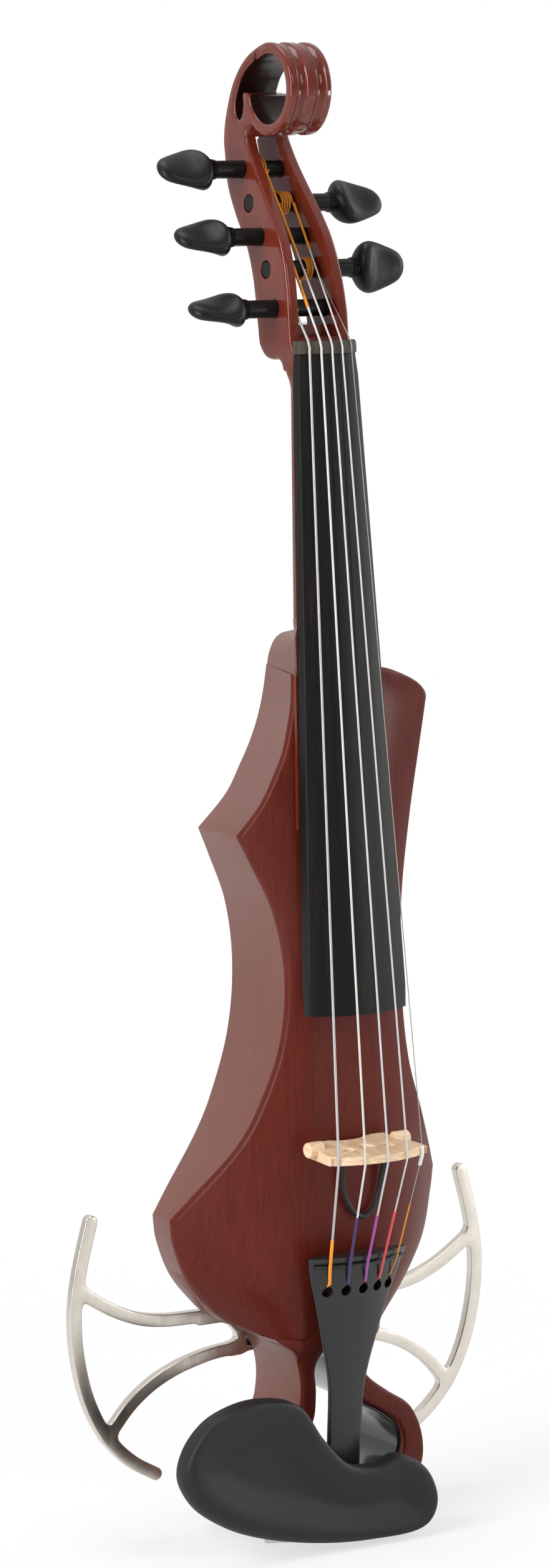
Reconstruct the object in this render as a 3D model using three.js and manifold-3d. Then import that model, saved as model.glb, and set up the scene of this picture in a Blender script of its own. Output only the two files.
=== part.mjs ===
// Electric violin with five strings: slim body with a looped tail, open pegbox and
// open scroll, metal side frames, chin rest, pickup bridge and battery electronics.
// Millimetres. X runs across to the viewer's right, Y towards the back, Z up the
// strings. The origin lies on the flat back, on the centre line, behind the bridge.

import * as THREE from "three";
import { mergeVertices } from "three/addons/utils/BufferGeometryUtils.js";
import Module from "manifold-3d";

const wasm = await Module();
wasm.setup();

// Clearances
const GAP = 0.3;
const OVERRUN = 2;
const EDGE = 1.2;

// Strings
const STRING_LENGTH = 328;
const STRING_NAMES = ["c", "g", "d", "a", "e"];
const STRING_RADII = { c: 0.55, g: 0.48, d: 0.44, a: 0.4, e: 0.25 };
const NUT_SPREAD = 20.4;
const BRIDGE_SPREAD = 41;
const TAIL_SPREAD = 33;
const STRING_OVER_BOARD = 1.1;
const STRING_OVER_BODY = 33;
const STRING_SIDES = 8;
const ARCH_POINTS = 9;

// Body
const BODY_DEPTH = 50;
const BODY_TOP = 197;
const BODY_BOTTOM = 83;
const BODY_REACH = 64;
const PLATE_THICKNESS = 3;
const ARCH_FLAT = 14;
const ARCH_POWER = 1.9;
const BODY_LEVELS = 30;
const FRONT_POINTS = 9;

// Tail loop
const LOOP_DEPTH = 37.5;
const LOOP_BOTTOM = 160;
const LOOP_REACH = 47;
const LOOP_EDGE = 1.5;
const LINER_THICKNESS = 1.2;
const LINER_SETBACK = 3.2;

// Neck and fingerboard
const BOARD_LENGTH_SHARE = 0.823;
const BOARD_NUT_WIDTH = 28.4;
const BOARD_END_WIDTH = 48;
const BOARD_RADIUS = 41.5;
const BOARD_SIDE = 5;
const BOARD_DEPTH_AT_NUT = 7;
const BOARD_DEPTH_AT_END = 12.6;
const BOARD_SCOOP = 2.4;
const BOARD_SLOPE_SHARE = 0.0785;
const NECK_FOOT_END = 134;
const NECK_FOOT_THICKNESS = 2.5;
const NECK_DEPTH_AT_NUT = 10.2;
const NECK_DEPTH_AT_HEEL = 14;
const NECK_INSET = 1;
const NECK_SIDES = 12;
const HEEL_RISE = 15.5;
const HEEL_WIDTH = 38.4;
const HEEL_BUTTON_WIDTH = 12.8;
const NUT_THICKNESS = 5.2;

// Pegbox and scroll
const HEAD_HEIGHT = 126;
const HEAD_DEPTH = 60;
const HEAD_WIDTH = 29;
const PEGBOX_WALL = 4.5;
const POCKET_DEPTH = 9;
const SCROLL_RADIUS = 19;
const SCROLL_EYE_RADIUS = 14.3;
const SCROLL_CENTRE_UP = 107.5;
const SCROLL_CENTRE_BACK = 25.5;
const FLUTE_RADIUS = 3.4;
const FLUTE_DEPTH = 1.5;
const FLUTE_SPACING = 9.2;

// Pegs
const PEG_RADIUS = 3.7;
const PEG_TIP_RADIUS = 3.4;
const PEG_SHANK = 16;
const PEG_HEAD_LENGTH = 24;
const PEG_HEAD_WIDTH = 21.5;
const PEG_HEAD_THICKNESS = 13;
const PEG_COLLAR_RADIUS = 5;
const PEG_COLLAR_LENGTH = 5;
const PEG_SIDES = 12;
const WIND_PITCH = 1.45;
const WIND_RADIUS = 0.42;
const WIND_STEPS = 24;
const WIND_SIDES = 6;

// Bridge, pickups and their lead
const BRIDGE_CROWN_WIDTH = 47;
const BRIDGE_BASE_THICKNESS = 6.4;
const BRIDGE_CROWN_THICKNESS = 3.2;
const BRIDGE_CROWN_RADIUS = 39.7;
const PICKUP_RADIUS = 3.1;
const PICKUP_LENGTH = 7.5;
const PICKUP_OUT = 1.4;
const PICKUP_RISE = 9.7;
const PICKUP_FORWARD = 2.2;
const LEAD_RADIUS = 1.05;
const LEAD_HOLE_RADIUS = 2.3;
const LEAD_RISE = 6;
const LEAD_DROP = 32.4;
const SLEEVE_LENGTH = 6;
const SLEEVE_RADIUS = 0.95;
const SLEEVE_TAIL_SHARE = 0.6;

// Tailpiece, saddle, gut and end button
const TAILPIECE_TOP = 43.5;
const TAIL_CLEARANCE = 2.5;
const TAILPIECE_WIDTH = 48;
const TAILPIECE_NECK_WIDTH = 16.4;
const TAILPIECE_OVER_BODY = 11;
const TAILPIECE_OVER_LOOP = 10;
const TAILPIECE_FALL_POWER = 0.6;
const TAILPIECE_ARCH_RADIUS = 48;
const TAILPIECE_SIDE = 3.6;
const KEYHOLE_RADIUS = 2.2;
const KEYHOLE_SLOT = 2;
const KEYHOLE_DOWN = 14.5;
const KEYHOLE_DIVE = 5;
const RIDGE_DOWN = 3.8;
const RIDGE_HEIGHT = 1.3;
const RIDGE_WIDTH = 1.6;
const GUT_RADIUS = 1;
const GUT_TURN_STEPS = 8;
const BUTTON_RADIUS = 6.5;
const BUTTON_NECK_RADIUS = 3.6;
const BUTTON_LENGTH = 10;
const BUTTON_RISE = 18;
const SADDLE_WIDTH = 30;
const SADDLE_HEIGHT = 5;
const SADDLE_THICKNESS = 6;

// Chin rest and its clamp
const CHIN_WIDTH = 125;
const CHIN_HEIGHT = 68;
const CHIN_MIDDLE = -23.5;
const CHIN_DOWN = 134;
const CHIN_OVER_LOOP = 25.5;
const CHIN_THICKNESS = 11;
const CHIN_EDGE = 3.2;
const CHIN_DISH = 3.2;
const CORK_THICKNESS = 2;
const BARREL_RADIUS = 2.9;
const BARREL_LENGTH = 22;
const ROD_RADIUS = 1.4;
const CLAMP_PLATE = 2;
const CLAMP_GRIP = 8.5;

// Side frames
const FRAME_THICKNESS = 4;
const FRAME_BAR = 5.4;
const FRAME_RIM = 7;
const FRAME_RADIUS = 75.5;
const FRAME_CENTRE_ACROSS = 28.5;
const FRAME_CENTRE_DOWN = 76;
const RIM_STEPS = 24;
const SCREW_RADIUS = 2;
const SCREW_HEAD_RADIUS = 3.6;
const SCREW_HEAD_HEIGHT = 2.2;
const SCREW_LENGTH = 11;
const SCREW_KEY_RADIUS = 1.24;

// Electronics in the back
const COVER_THICKNESS = 2;
const COVER_LIP = 3;
const CAVITY_MIDDLE = 6;
const CAVITY_DOWN = 40;
const CAVITY_WIDTH = 34;
const CAVITY_HEIGHT = 52;
const CAVITY_DEPTH = 24;
const BATTERY_WIDTH = 26.5;
const BATTERY_LENGTH = 48.5;
const BATTERY_DEPTH = 17.5;
const BATTERY_STUD_RADIUS = 2.9;
const BATTERY_STUD_HEIGHT = 1.8;
const BATTERY_SIDE_ROOM = 1;
const BATTERY_END_ROOM = 1.75;
const BATTERY_MIDDLE = -30.75;
const BATTERY_DOWN = 38;
const KNOB_ACROSS = 38;
const VOLUME_DOWN = 22;
const TONE_DOWN = 46;
const KNOB_RADIUS = 7.2;
const KNOB_HEIGHT = 7;
const POT_RADIUS = 6.4;
const POT_DEPTH = 8;
const POT_SHAFT_RADIUS = 3;
const BOARD_THICKNESS = 1.6;
const JACK_RADIUS = 5.6;
const JACK_BORE_RADIUS = 3.3;
const JACK_LENGTH = 18;
const JACK_ACROSS = 25.5;
const JACK_RISE = 13;
const PHONES_RADIUS = 4;
const PHONES_BORE_RADIUS = 1.8;
const PHONES_ACROSS = 36;
const PHONES_RISE = 11;

// Colours
const STAINED = { color: 0x6b2a1e, roughness: 0.45, metalness: 0 };
const RIB_STAIN = { color: 0x7a4238, roughness: 0.45, metalness: 0 };
const EBONY = { color: 0x1b1a19, roughness: 0.5, metalness: 0 };
const NUT_EBONY = { color: 0x3c352f, roughness: 0.5, metalness: 0 };
const MAPLE = { color: 0xd9b78c, roughness: 0.6, metalness: 0 };
const BLACK = { color: 0x18191a, roughness: 0.35, metalness: 0 };
const GREY_BLACK = { color: 0x2a2b2c, roughness: 0.45, metalness: 0 };
const ALUMINIUM = { color: 0xb9b1a4, roughness: 0.35, metalness: 0.9 };
const STEEL = { color: 0xb8babd, roughness: 0.3, metalness: 0.95 };
const STRING_STEEL = { color: 0xcfd0d0, roughness: 0.3, metalness: 0.8 };
const SILK = { color: 0xe08a1c, roughness: 0.7, metalness: 0 };
const CORK = { color: 0x9c7248, roughness: 0.85, metalness: 0 };
const PLASTIC = { color: 0xe8e8e4, roughness: 0.4, metalness: 0 };
const BOARD_GREEN = { color: 0x1f5a34, roughness: 0.5, metalness: 0 };

const violin = new THREE.Group();

// Solids

function solidOf(geometry) {
  const bare = geometry.index ? geometry.toNonIndexed() : geometry.clone();
  bare.deleteAttribute("normal");
  bare.deleteAttribute("uv");
  const merged = mergeVertices(bare, GAP / 1000);
  return new wasm.Manifold(
    new wasm.Mesh({
      numProp: 3,
      vertProperties: merged.attributes.position.array,
      triVerts: new Uint32Array(merged.index.array),
    }),
  );
}

function geometryOf(solid) {
  const mesh = solid.getMesh();
  const geometry = new THREE.BufferGeometry();
  geometry.setAttribute("position", new THREE.BufferAttribute(mesh.vertProperties, 3));
  geometry.setIndex(new THREE.BufferAttribute(mesh.triVerts, 1));
  const flat = geometry.toNonIndexed();
  flat.computeVertexNormals();
  return flat;
}

function add(name, shape, look) {
  const geometry = shape.isBufferGeometry ? shape : geometryOf(shape);
  const mesh = new THREE.Mesh(geometry, new THREE.MeshStandardMaterial(look));
  mesh.name = name;
  violin.add(mesh);
}

function joined(...shapes) {
  return shapes.reduce((whole, shape) => whole.add(shape));
}

function cutFrom(solid, ...cutters) {
  return cutters.reduce((whole, cutter) => whole.subtract(cutter), solid);
}

function bevelled(shape, depth, edge, curveSegments) {
  return new THREE.ExtrudeGeometry(shape, {
    depth: depth - 2 * edge,
    curveSegments,
    bevelEnabled: edge > 0,
    bevelThickness: edge,
    bevelSize: edge,
    bevelOffset: -edge,
    bevelSegments: 2,
  }).translate(0, 0, edge);
}

// An outline seen from the front, solid from yFront to yBack.
function frontSolid(shape, yFront, yBack, edge = 0, curveSegments = 6) {
  const geometry = bevelled(shape, yBack - yFront, edge, curveSegments);
  return solidOf(geometry.rotateX(Math.PI / 2).translate(0, yBack, 0));
}

// An outline seen from the side, in Y and Z, solid from xLeft to xRight.
function sideSolid(shape, xLeft, xRight, edge = 0, curveSegments = 6) {
  const geometry = bevelled(shape, xRight - xLeft, edge, curveSegments);
  const turn = new THREE.Matrix4().makeBasis(
    new THREE.Vector3(0, 1, 0),
    new THREE.Vector3(0, 0, 1),
    new THREE.Vector3(1, 0, 0),
  );
  return solidOf(geometry.applyMatrix4(turn).translate(xLeft, 0, 0));
}

// An outline seen along the strings, in X and Y, solid from zLow to zHigh.
function levelSolid(shape, zLow, zHigh, edge = 0, curveSegments = 6) {
  return solidOf(bevelled(shape, zHigh - zLow, edge, curveSegments).translate(0, 0, zLow));
}

function block(x0, x1, y0, y1, z0, z1) {
  const geometry = new THREE.BoxGeometry(x1 - x0, y1 - y0, z1 - z0);
  return solidOf(geometry.translate((x0 + x1) / 2, (y0 + y1) / 2, (z0 + z1) / 2));
}

// A solid of revolution; profile points are [radius, distance along the axis].
function turned(profile, axis, at, segments = 16) {
  const points = profile.map(([radius, along]) => new THREE.Vector2(radius, along));
  const geometry = new THREE.LatheGeometry(points, segments);
  const turn = new THREE.Quaternion().setFromUnitVectors(new THREE.Vector3(0, 1, 0), axis);
  return solidOf(geometry.applyQuaternion(turn).translate(at.x, at.y, at.z));
}

function rod(radius, start, end, segments = 16) {
  const axis = end.clone().sub(start);
  const length = axis.length();
  const profile = [[0, 0], [radius, 0], [radius, length], [0, length]];
  return turned(profile, axis.normalize(), start, segments);
}

function pipe(outer, bore, start, end, segments = 16) {
  const axis = end.clone().sub(start);
  const length = axis.length();
  const profile = [[bore, 0], [outer, 0], [outer, length], [bore, length], [bore, 0]];
  return turned(profile, axis.normalize(), start, segments);
}

// A closed skin over rings of equally many points, with flat ends.
function loft(rings) {
  const count = rings[0].length;
  const positions = rings.flat().flatMap((point) => [point.x, point.y, point.z]);
  const faces = [];
  for (let ring = 0; ring + 1 < rings.length; ring += 1) {
    for (let step = 0; step < count; step += 1) {
      const next = (step + 1) % count;
      const a = ring * count + step;
      const b = ring * count + next;
      const c = a + count;
      const d = b + count;
      faces.push(a, b, d, a, d, c);
    }
  }
  const capFaces = (ring, offset, flip) => {
    const centre = ring.reduce((sum, p) => sum.add(p), new THREE.Vector3());
    centre.divideScalar(count);
    const normal = new THREE.Vector3();
    for (let step = 0; step < count; step += 1) {
      const from = ring[step].clone().sub(centre);
      normal.add(from.cross(ring[(step + 1) % count].clone().sub(centre)));
    }
    normal.normalize();
    const u = ring[0].clone().sub(centre).normalize();
    const v = normal.clone().cross(u);
    const flat = ring.map((p) => {
      const from = p.clone().sub(centre);
      return new THREE.Vector2(from.dot(u), from.dot(v));
    });
    THREE.ShapeUtils.triangulateShape(flat, []).forEach((triangle) => {
      const corners = triangle.map((corner) => offset + corner);
      faces.push(...(flip ? corners.reverse() : corners));
    });
  };
  capFaces(rings[0], 0, true);
  capFaces(rings[rings.length - 1], (rings.length - 1) * count, false);
  const geometry = new THREE.BufferGeometry();
  geometry.setAttribute("position", new THREE.Float32BufferAttribute(positions, 3));
  geometry.setIndex(faces);
  const solid = solidOf(geometry);
  return solid.volume() < 0 ? solidOf(flipped(geometry)) : solid;
}

function flipped(geometry) {
  const index = geometry.index.array.slice();
  for (let i = 0; i < index.length; i += 3) {
    [index[i + 1], index[i + 2]] = [index[i + 2], index[i + 1]];
  }
  return geometry.clone().setIndex(new THREE.BufferAttribute(index, 1));
}

// Rings of a round tube along points, each square to the bend there.
function tube(points, radius, sides) {
  let side = new THREE.Vector3();
  const rings = points.map((point, i) => {
    const before = points[Math.max(i - 1, 0)];
    const after = points[Math.min(i + 1, points.length - 1)];
    const along = after.clone().sub(before).normalize();
    if (i === 0) side = perpendicular(along);
    side = side.addScaledVector(along, -side.dot(along)).normalize();
    const third = along.clone().cross(side);
    return Array.from({ length: sides }, (_, step) => {
      const turn = (2 * Math.PI * step) / sides;
      return point
        .clone()
        .addScaledVector(side, radius * Math.cos(turn))
        .addScaledVector(third, radius * Math.sin(turn));
    });
  });
  return loft(rings);
}

function perpendicular(along) {
  const across = Math.abs(along.x) < Math.abs(along.z);
  const rough = across ? new THREE.Vector3(1, 0, 0) : new THREE.Vector3(0, 0, 1);
  return rough.addScaledVector(along, -rough.dot(along)).normalize();
}

function vec(x, y, z) {
  return new THREE.Vector3(x, y, z);
}

// Outlines always run anticlockwise, so that their holes turn the other way.
function outline(points) {
  const corners = points.map(([u, v]) => new THREE.Vector2(u, v));
  return new THREE.Shape(THREE.ShapeUtils.isClockWise(corners) ? corners.reverse() : corners);
}

function smoothOutline(points) {
  const corners = points.map(([u, v]) => vec(u, v, 0));
  const curve = new THREE.CatmullRomCurve3(corners, true, "centripetal");
  return outline(curve.getPoints(points.length * 2).slice(0, -1).map((p) => [p.x, p.y]));
}

function circleHole(shape, u, v, radius) {
  const hole = new THREE.Path();
  hole.absarc(u, v, radius, 0, 2 * Math.PI, false);
  shape.holes.push(hole);
}

// Smooth values between rows [place, value, value ...] with the places falling.
function smoothRows(rows) {
  const slope = (i, column) => {
    const low = rows[Math.max(i - 1, 0)];
    const high = rows[Math.min(i + 1, rows.length - 1)];
    return (high[column] - low[column]) / (high[0] - low[0]);
  };
  return (place) => {
    let i = rows.findIndex((row, n) => n > 0 && place >= row[0]) - 1;
    if (i < 0) i = place > rows[0][0] ? 0 : rows.length - 2;
    const [from, to] = [rows[i], rows[i + 1]];
    const span = to[0] - from[0];
    const t = THREE.MathUtils.clamp((place - from[0]) / span, 0, 1);
    return from.slice(1).map((value, n) => {
      const column = n + 1;
      const a = slope(i, column) * span;
      const b = slope(i + 1, column) * span;
      const t2 = t * t;
      const t3 = t2 * t;
      return (
        value * (2 * t3 - 3 * t2 + 1) +
        a * (t3 - 2 * t2 + t) +
        to[column] * (3 * t2 - 2 * t3) +
        b * (t3 - t2)
      );
    });
  };
}

function mix(from, to, share) {
  return from + (to - from) * share;
}

// A row of points across an arch from -half to half.
function arched(half, height, z) {
  return Array.from({ length: ARCH_POINTS }, (_, i) => {
    const x = mix(-half, half, i / (ARCH_POINTS - 1));
    return vec(x, height(x), z);
  });
}

// Places along the strings

const boardLength = BOARD_LENGTH_SHARE * STRING_LENGTH;
const boardEnd = STRING_LENGTH - boardLength;

function boardShare(z) {
  return (STRING_LENGTH - z) / boardLength;
}

function boardHalf(z) {
  return mix(BOARD_NUT_WIDTH, BOARD_END_WIDTH, boardShare(z)) / 2;
}

function boardCrown(z) {
  return boardBack(z) - mix(BOARD_DEPTH_AT_NUT, BOARD_DEPTH_AT_END, boardShare(z));
}

function boardBack(z) {
  const atFoot = -ridgeRise(NECK_FOOT_END) - NECK_FOOT_THICKNESS;
  return atFoot + (z - NECK_FOOT_END) * BOARD_SLOPE_SHARE;
}

function arcDrop(x, radius) {
  return radius - Math.sqrt(radius * radius - x * x);
}

function stringAcross(spread, index) {
  return spread * (index / (STRING_NAMES.length - 1) - 1 / 2);
}

// Body outline, as shares: height of BODY_TOP, front edge across of BODY_REACH,
// front edge depth of BODY_DEPTH, back edge across of BODY_REACH.
const heelSideShares = [
  [1, 0.3, 0.87, 0.1],
  [0.94, 0.31, 0.88, 0.13],
  [0.885, 0.34, 0.88, 0.175],
  [0.84, 0.375, 0.88, 0.23],
  [0.79, 0.44, 0.87, 0.31],
  [0.73, 0.53, 0.84, 0.42],
  [0.663, 0.64, 0.7, 0.63],
];
const waistSideShares = [
  [0.663, 0.64, 0.7, 0.63],
  [0.61, 0.57, 0.75, 0.56],
  [0.5, 0.43, 0.83, 0.43],
  [0.365, 0.378, 0.9, 0.378],
  [0.22, 0.42, 0.9, 0.42],
  [0.08, 0.56, 0.82, 0.56],
  [0, 0.685, 0.73, 0.685],
  [-0.1, 0.89, 0.5, 0.89],
  [-0.157, 1, 0.35, 1],
];
const boutSideShares = [
  [-0.157, 1, 0.35, 1],
  [-0.21, 0.978, 0.35, 0.978],
  [-0.29, 0.88, 0.35, 0.88],
  [-0.35, 0.735, 0.35, 0.735],
  [-0.39, 0.6, 0.4, 0.6],
  [-BODY_BOTTOM / BODY_TOP, 0.4, 0.7, 0.4],
];
const shoulderSideShares = [
  [1, 0.44, 0.8, 0.44],
  [0.985, 0.56, 0.8, 0.56],
  [0.965, 0.68, 0.8, 0.68],
  [0.94, 0.75, 0.8, 0.75],
  [0.915, 0.745, 0.8, 0.745],
  [0.84, 0.695, 0.82, 0.695],
  [0.68, 0.6, 0.84, 0.6],
  [0.5, 0.525, 0.86, 0.525],
  [0.3, 0.52, 0.88, 0.52],
  [0.16, 0.58, 0.86, 0.58],
  [0.04, 0.72, 0.78, 0.72],
  [-0.05, 0.9, 0.54, 0.9],
  [-0.11, 1.02, 0.37, 1.02],
];
const rightBoutSideShares = [
  [-0.11, 1.02, 0.37, 1.02],
  [-0.16, 1.01, 0.35, 1.01],
  [-0.26, 0.95, 0.35, 0.95],
  [-0.34, 0.85, 0.35, 0.85],
  [-0.39, 0.74, 0.36, 0.74],
  [-BODY_BOTTOM / BODY_TOP, 0.62, 0.4, 0.62],
];
const ridgeLineShares = [
  [1, 0.865],
  [0.68, 0.955],
  [0.4, 0.99],
  [0, 1],
  [-0.15, 0.99],
  [-0.3, 0.945],
  [-BODY_BOTTOM / BODY_TOP, 0.83],
];

function sideAt(tables) {
  const curves = tables.map((table) => ({ low: table[table.length - 1][0], at: smoothRows(table) }));
  return (z) => {
    const share = z / BODY_TOP;
    const curve = curves.find((one) => share >= one.low) ?? curves[curves.length - 1];
    const [across, depth, backAcross] = curve.at(share);
    return { across: across * BODY_REACH, depth: depth * BODY_DEPTH, back: backAcross * BODY_REACH };
  };
}

const leftSide = sideAt([heelSideShares, waistSideShares, boutSideShares]);
const rightSide = sideAt([shoulderSideShares, rightBoutSideShares]);
const ridgeLine = smoothRows(ridgeLineShares);

function ridgeRise(z) {
  return ridgeLine(z / BODY_TOP)[0] * BODY_DEPTH;
}

// Y of the body's front, with its flat middle and falling sides.
function frontAt(x, z) {
  const side = x < 0 ? leftSide(z) : rightSide(z);
  const flat = Math.min(ARCH_FLAT, side.across / 2);
  const share = Math.max(Math.abs(x) - flat, 0) / (side.across - flat);
  const drop = ridgeRise(z) - side.depth;
  return -ridgeRise(z) + drop * Math.pow(share, ARCH_POWER);
}

const corners = [heelSideShares, waistSideShares, shoulderSideShares].map(
  (table) => table[table.length - 1][0] * BODY_TOP,
);
const topTurns = shoulderSideShares.slice(1, 5).map((row) => row[0] * BODY_TOP);

function bodyLevels() {
  const even = Array.from({ length: BODY_LEVELS }, (_, i) =>
    mix(BODY_TOP, -BODY_BOTTOM, i / (BODY_LEVELS - 1)),
  );
  const kept = [BODY_TOP, -BODY_BOTTOM, ...corners, ...topTurns];
  const near = (BODY_TOP + BODY_BOTTOM) / BODY_LEVELS / 2;
  const free = even.filter((z) => kept.every((one) => Math.abs(one - z) > near));
  return [...kept, ...free].sort((a, b) => b - a);
}

function frontRow(z, sink, inset) {
  const left = -leftSide(z).across + inset;
  const right = rightSide(z).across - inset;
  return Array.from({ length: FRONT_POINTS }, (_, i) => {
    const even = i / (FRONT_POINTS - 1);
    const share = (1 - Math.cos(Math.PI * even)) / 2;
    const x = mix(left, right, mix(even, share, 1 / 2));
    return vec(x, frontAt(x, z) + sink, z);
  });
}

function plateRing(z) {
  const left = leftSide(z);
  const right = rightSide(z);
  const front = frontRow(z, 0, EDGE);
  const back = frontRow(z, PLATE_THICKNESS, 0).reverse();
  return [
    vec(-left.across, frontAt(-left.across, z) + EDGE, z),
    ...front,
    vec(right.across, frontAt(right.across, z) + EDGE, z),
    ...back,
  ];
}

function coreRing(z) {
  const left = leftSide(z);
  const right = rightSide(z);
  const front = frontRow(z, PLATE_THICKNESS + GAP, 0);
  return [
    ...front.reverse(),
    vec(-left.back, -EDGE, z),
    vec(-left.back + EDGE, 0, z),
    vec(right.back - EDGE, 0, z),
    vec(right.back, -EDGE, z),
  ];
}

// Tail loop, as shares of LOOP_REACH across and LOOP_BOTTOM down.
const loopOuterShares = [
  [-0.62, -0.476],
  [-0.53, -0.52],
  [-0.4, -0.552],
  [-0.315, -0.608],
  [-0.3, -0.678],
  [-0.36, -0.744],
  [-0.62, -0.8],
  [-0.91, -0.84],
  [-1, -0.9],
  [-0.94, -0.95],
  [-0.8, -0.975],
  [-0.45, -0.995],
  [0, -1],
  [0.5, -0.997],
  [0.85, -0.972],
  [1, -0.91],
  [1, -0.83],
  [0.87, -0.749],
  [0.63, -0.699],
  [0.43, -0.653],
  [0.33, -0.608],
  [0.4, -0.562],
  [0.62, -0.527],
  [0.7, -0.476],
];
const loopInnerShares = [
  [-0.14, -0.608],
  [-0.06, -0.56],
  [0.03, -0.572],
  [0.14, -0.638],
  [0.36, -0.714],
  [0.57, -0.751],
  [0.75, -0.795],
  [0.8, -0.845],
  [0.74, -0.896],
  [0.5, -0.923],
  [0, -0.93],
  [-0.5, -0.923],
  [-0.72, -0.896],
  [-0.68, -0.866],
  [-0.4, -0.82],
  [-0.17, -0.754],
  [-0.13, -0.678],
];

function loopPoints(shares) {
  return shares.map(([across, up]) => [across * LOOP_REACH, up * LOOP_BOTTOM]);
}

function shrunk(points, amount) {
  const count = points.length;
  const area = THREE.ShapeUtils.area(points.map(([u, v]) => new THREE.Vector2(u, v)));
  const turning = Math.sign(area);
  return points.map(([u, v], i) => {
    const before = points[(i + count - 1) % count];
    const after = points[(i + 1) % count];
    const along = new THREE.Vector2(after[0] - before[0], after[1] - before[1]).normalize();
    return [u - along.y * amount * turning, v + along.x * amount * turning];
  });
}

// The space that the top plate takes at the body's lower end, down to its joint.
function plateRoom() {
  const joint = -BODY_BOTTOM - GAP;
  const heights = bodyLevels().filter((z) => z < -BODY_BOTTOM / 2);
  const rings = [...heights, joint].map((z) => {
    const level = Math.max(z, -BODY_BOTTOM);
    const back = frontRow(level, PLATE_THICKNESS + GAP, 0).map((point) => point.setZ(z));
    const far = -2 * BODY_DEPTH;
    return [...back.reverse(), vec(-BODY_REACH, far, z), vec(BODY_REACH, far, z)];
  });
  return loft(rings);
}

function loopSolid() {
  const ring = smoothOutline(loopPoints(loopOuterShares));
  const joint = -BODY_BOTTOM - GAP;
  const rise = ridgeRise(-BODY_BOTTOM);
  const slope = outline([
    [-LOOP_DEPTH / 2, -BODY_BOTTOM / 2],
    [-rise, -BODY_BOTTOM / 2],
    [-rise, joint],
    [-LOOP_DEPTH, joint - LOOP_DEPTH / 3],
    [-LOOP_DEPTH / 2, joint - LOOP_DEPTH / 3],
  ]);
  const arm = frontSolid(ring, -rise, -LOOP_DEPTH / 2, 0, 1);
  const neck = arm.intersect(sideSolid(slope, -2 * BODY_REACH, 2 * BODY_REACH));
  return frontSolid(ring, -LOOP_DEPTH, 0, LOOP_EDGE, 1).add(neck).subtract(plateRoom());
}

// Back layout of the electronics
function backBox(middle, down, width, height) {
  return {
    left: middle - width / 2,
    right: middle + width / 2,
    low: -down - height / 2,
    high: -down + height / 2,
  };
}

const cavity = backBox(CAVITY_MIDDLE, CAVITY_DOWN, CAVITY_WIDTH, CAVITY_HEIGHT);
const batteryBay = backBox(
  BATTERY_MIDDLE,
  BATTERY_DOWN,
  BATTERY_WIDTH + 2 * BATTERY_SIDE_ROOM,
  BATTERY_LENGTH + 2 * BATTERY_END_ROOM,
);
const knobDowns = { volume_knob: VOLUME_DOWN, tone_knob: TONE_DOWN };
const knobFloor = -KNOB_HEIGHT - 2 * GAP - EDGE;

function socketPoint(across, rise, z) {
  return vec(across, -rise, z);
}

// A box in the back, wider by a lip, from a depth out through the back.
function recess(box, depth, lip) {
  return block(box.left - lip, box.right + lip, -depth, OVERRUN, box.low - lip, box.high + lip);
}

function leadBore(back) {
  const { x, z } = leadHolePlace;
  return rod(LEAD_HOLE_RADIUS, vec(x, -BODY_DEPTH - OVERRUN, z), vec(x, back, z), 12);
}

function knobCuts() {
  return Object.values(knobDowns).flatMap((down) => {
    const at = (y) => vec(KNOB_ACROSS, y, -down);
    return [
      rod(KNOB_RADIUS + EDGE, at(knobFloor), at(OVERRUN), 24),
      rod(POT_RADIUS + GAP, at(knobFloor - GAP - POT_DEPTH), at(0), 20),
    ];
  });
}

function socketCut(radius, across, rise) {
  const low = socketPoint(across, rise, -BODY_BOTTOM - OVERRUN);
  return rod(radius + GAP, low, socketPoint(across, rise, -BODY_BOTTOM + JACK_LENGTH + GAP), 20);
}

function wireWay() {
  const low = -BATTERY_LENGTH;
  const left = batteryBay.right - OVERRUN;
  return block(
    left,
    cavity.left + OVERRUN,
    -BATTERY_DEPTH,
    -BATTERY_DEPTH / 2,
    low,
    low + BATTERY_DEPTH / 2,
  );
}

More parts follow.
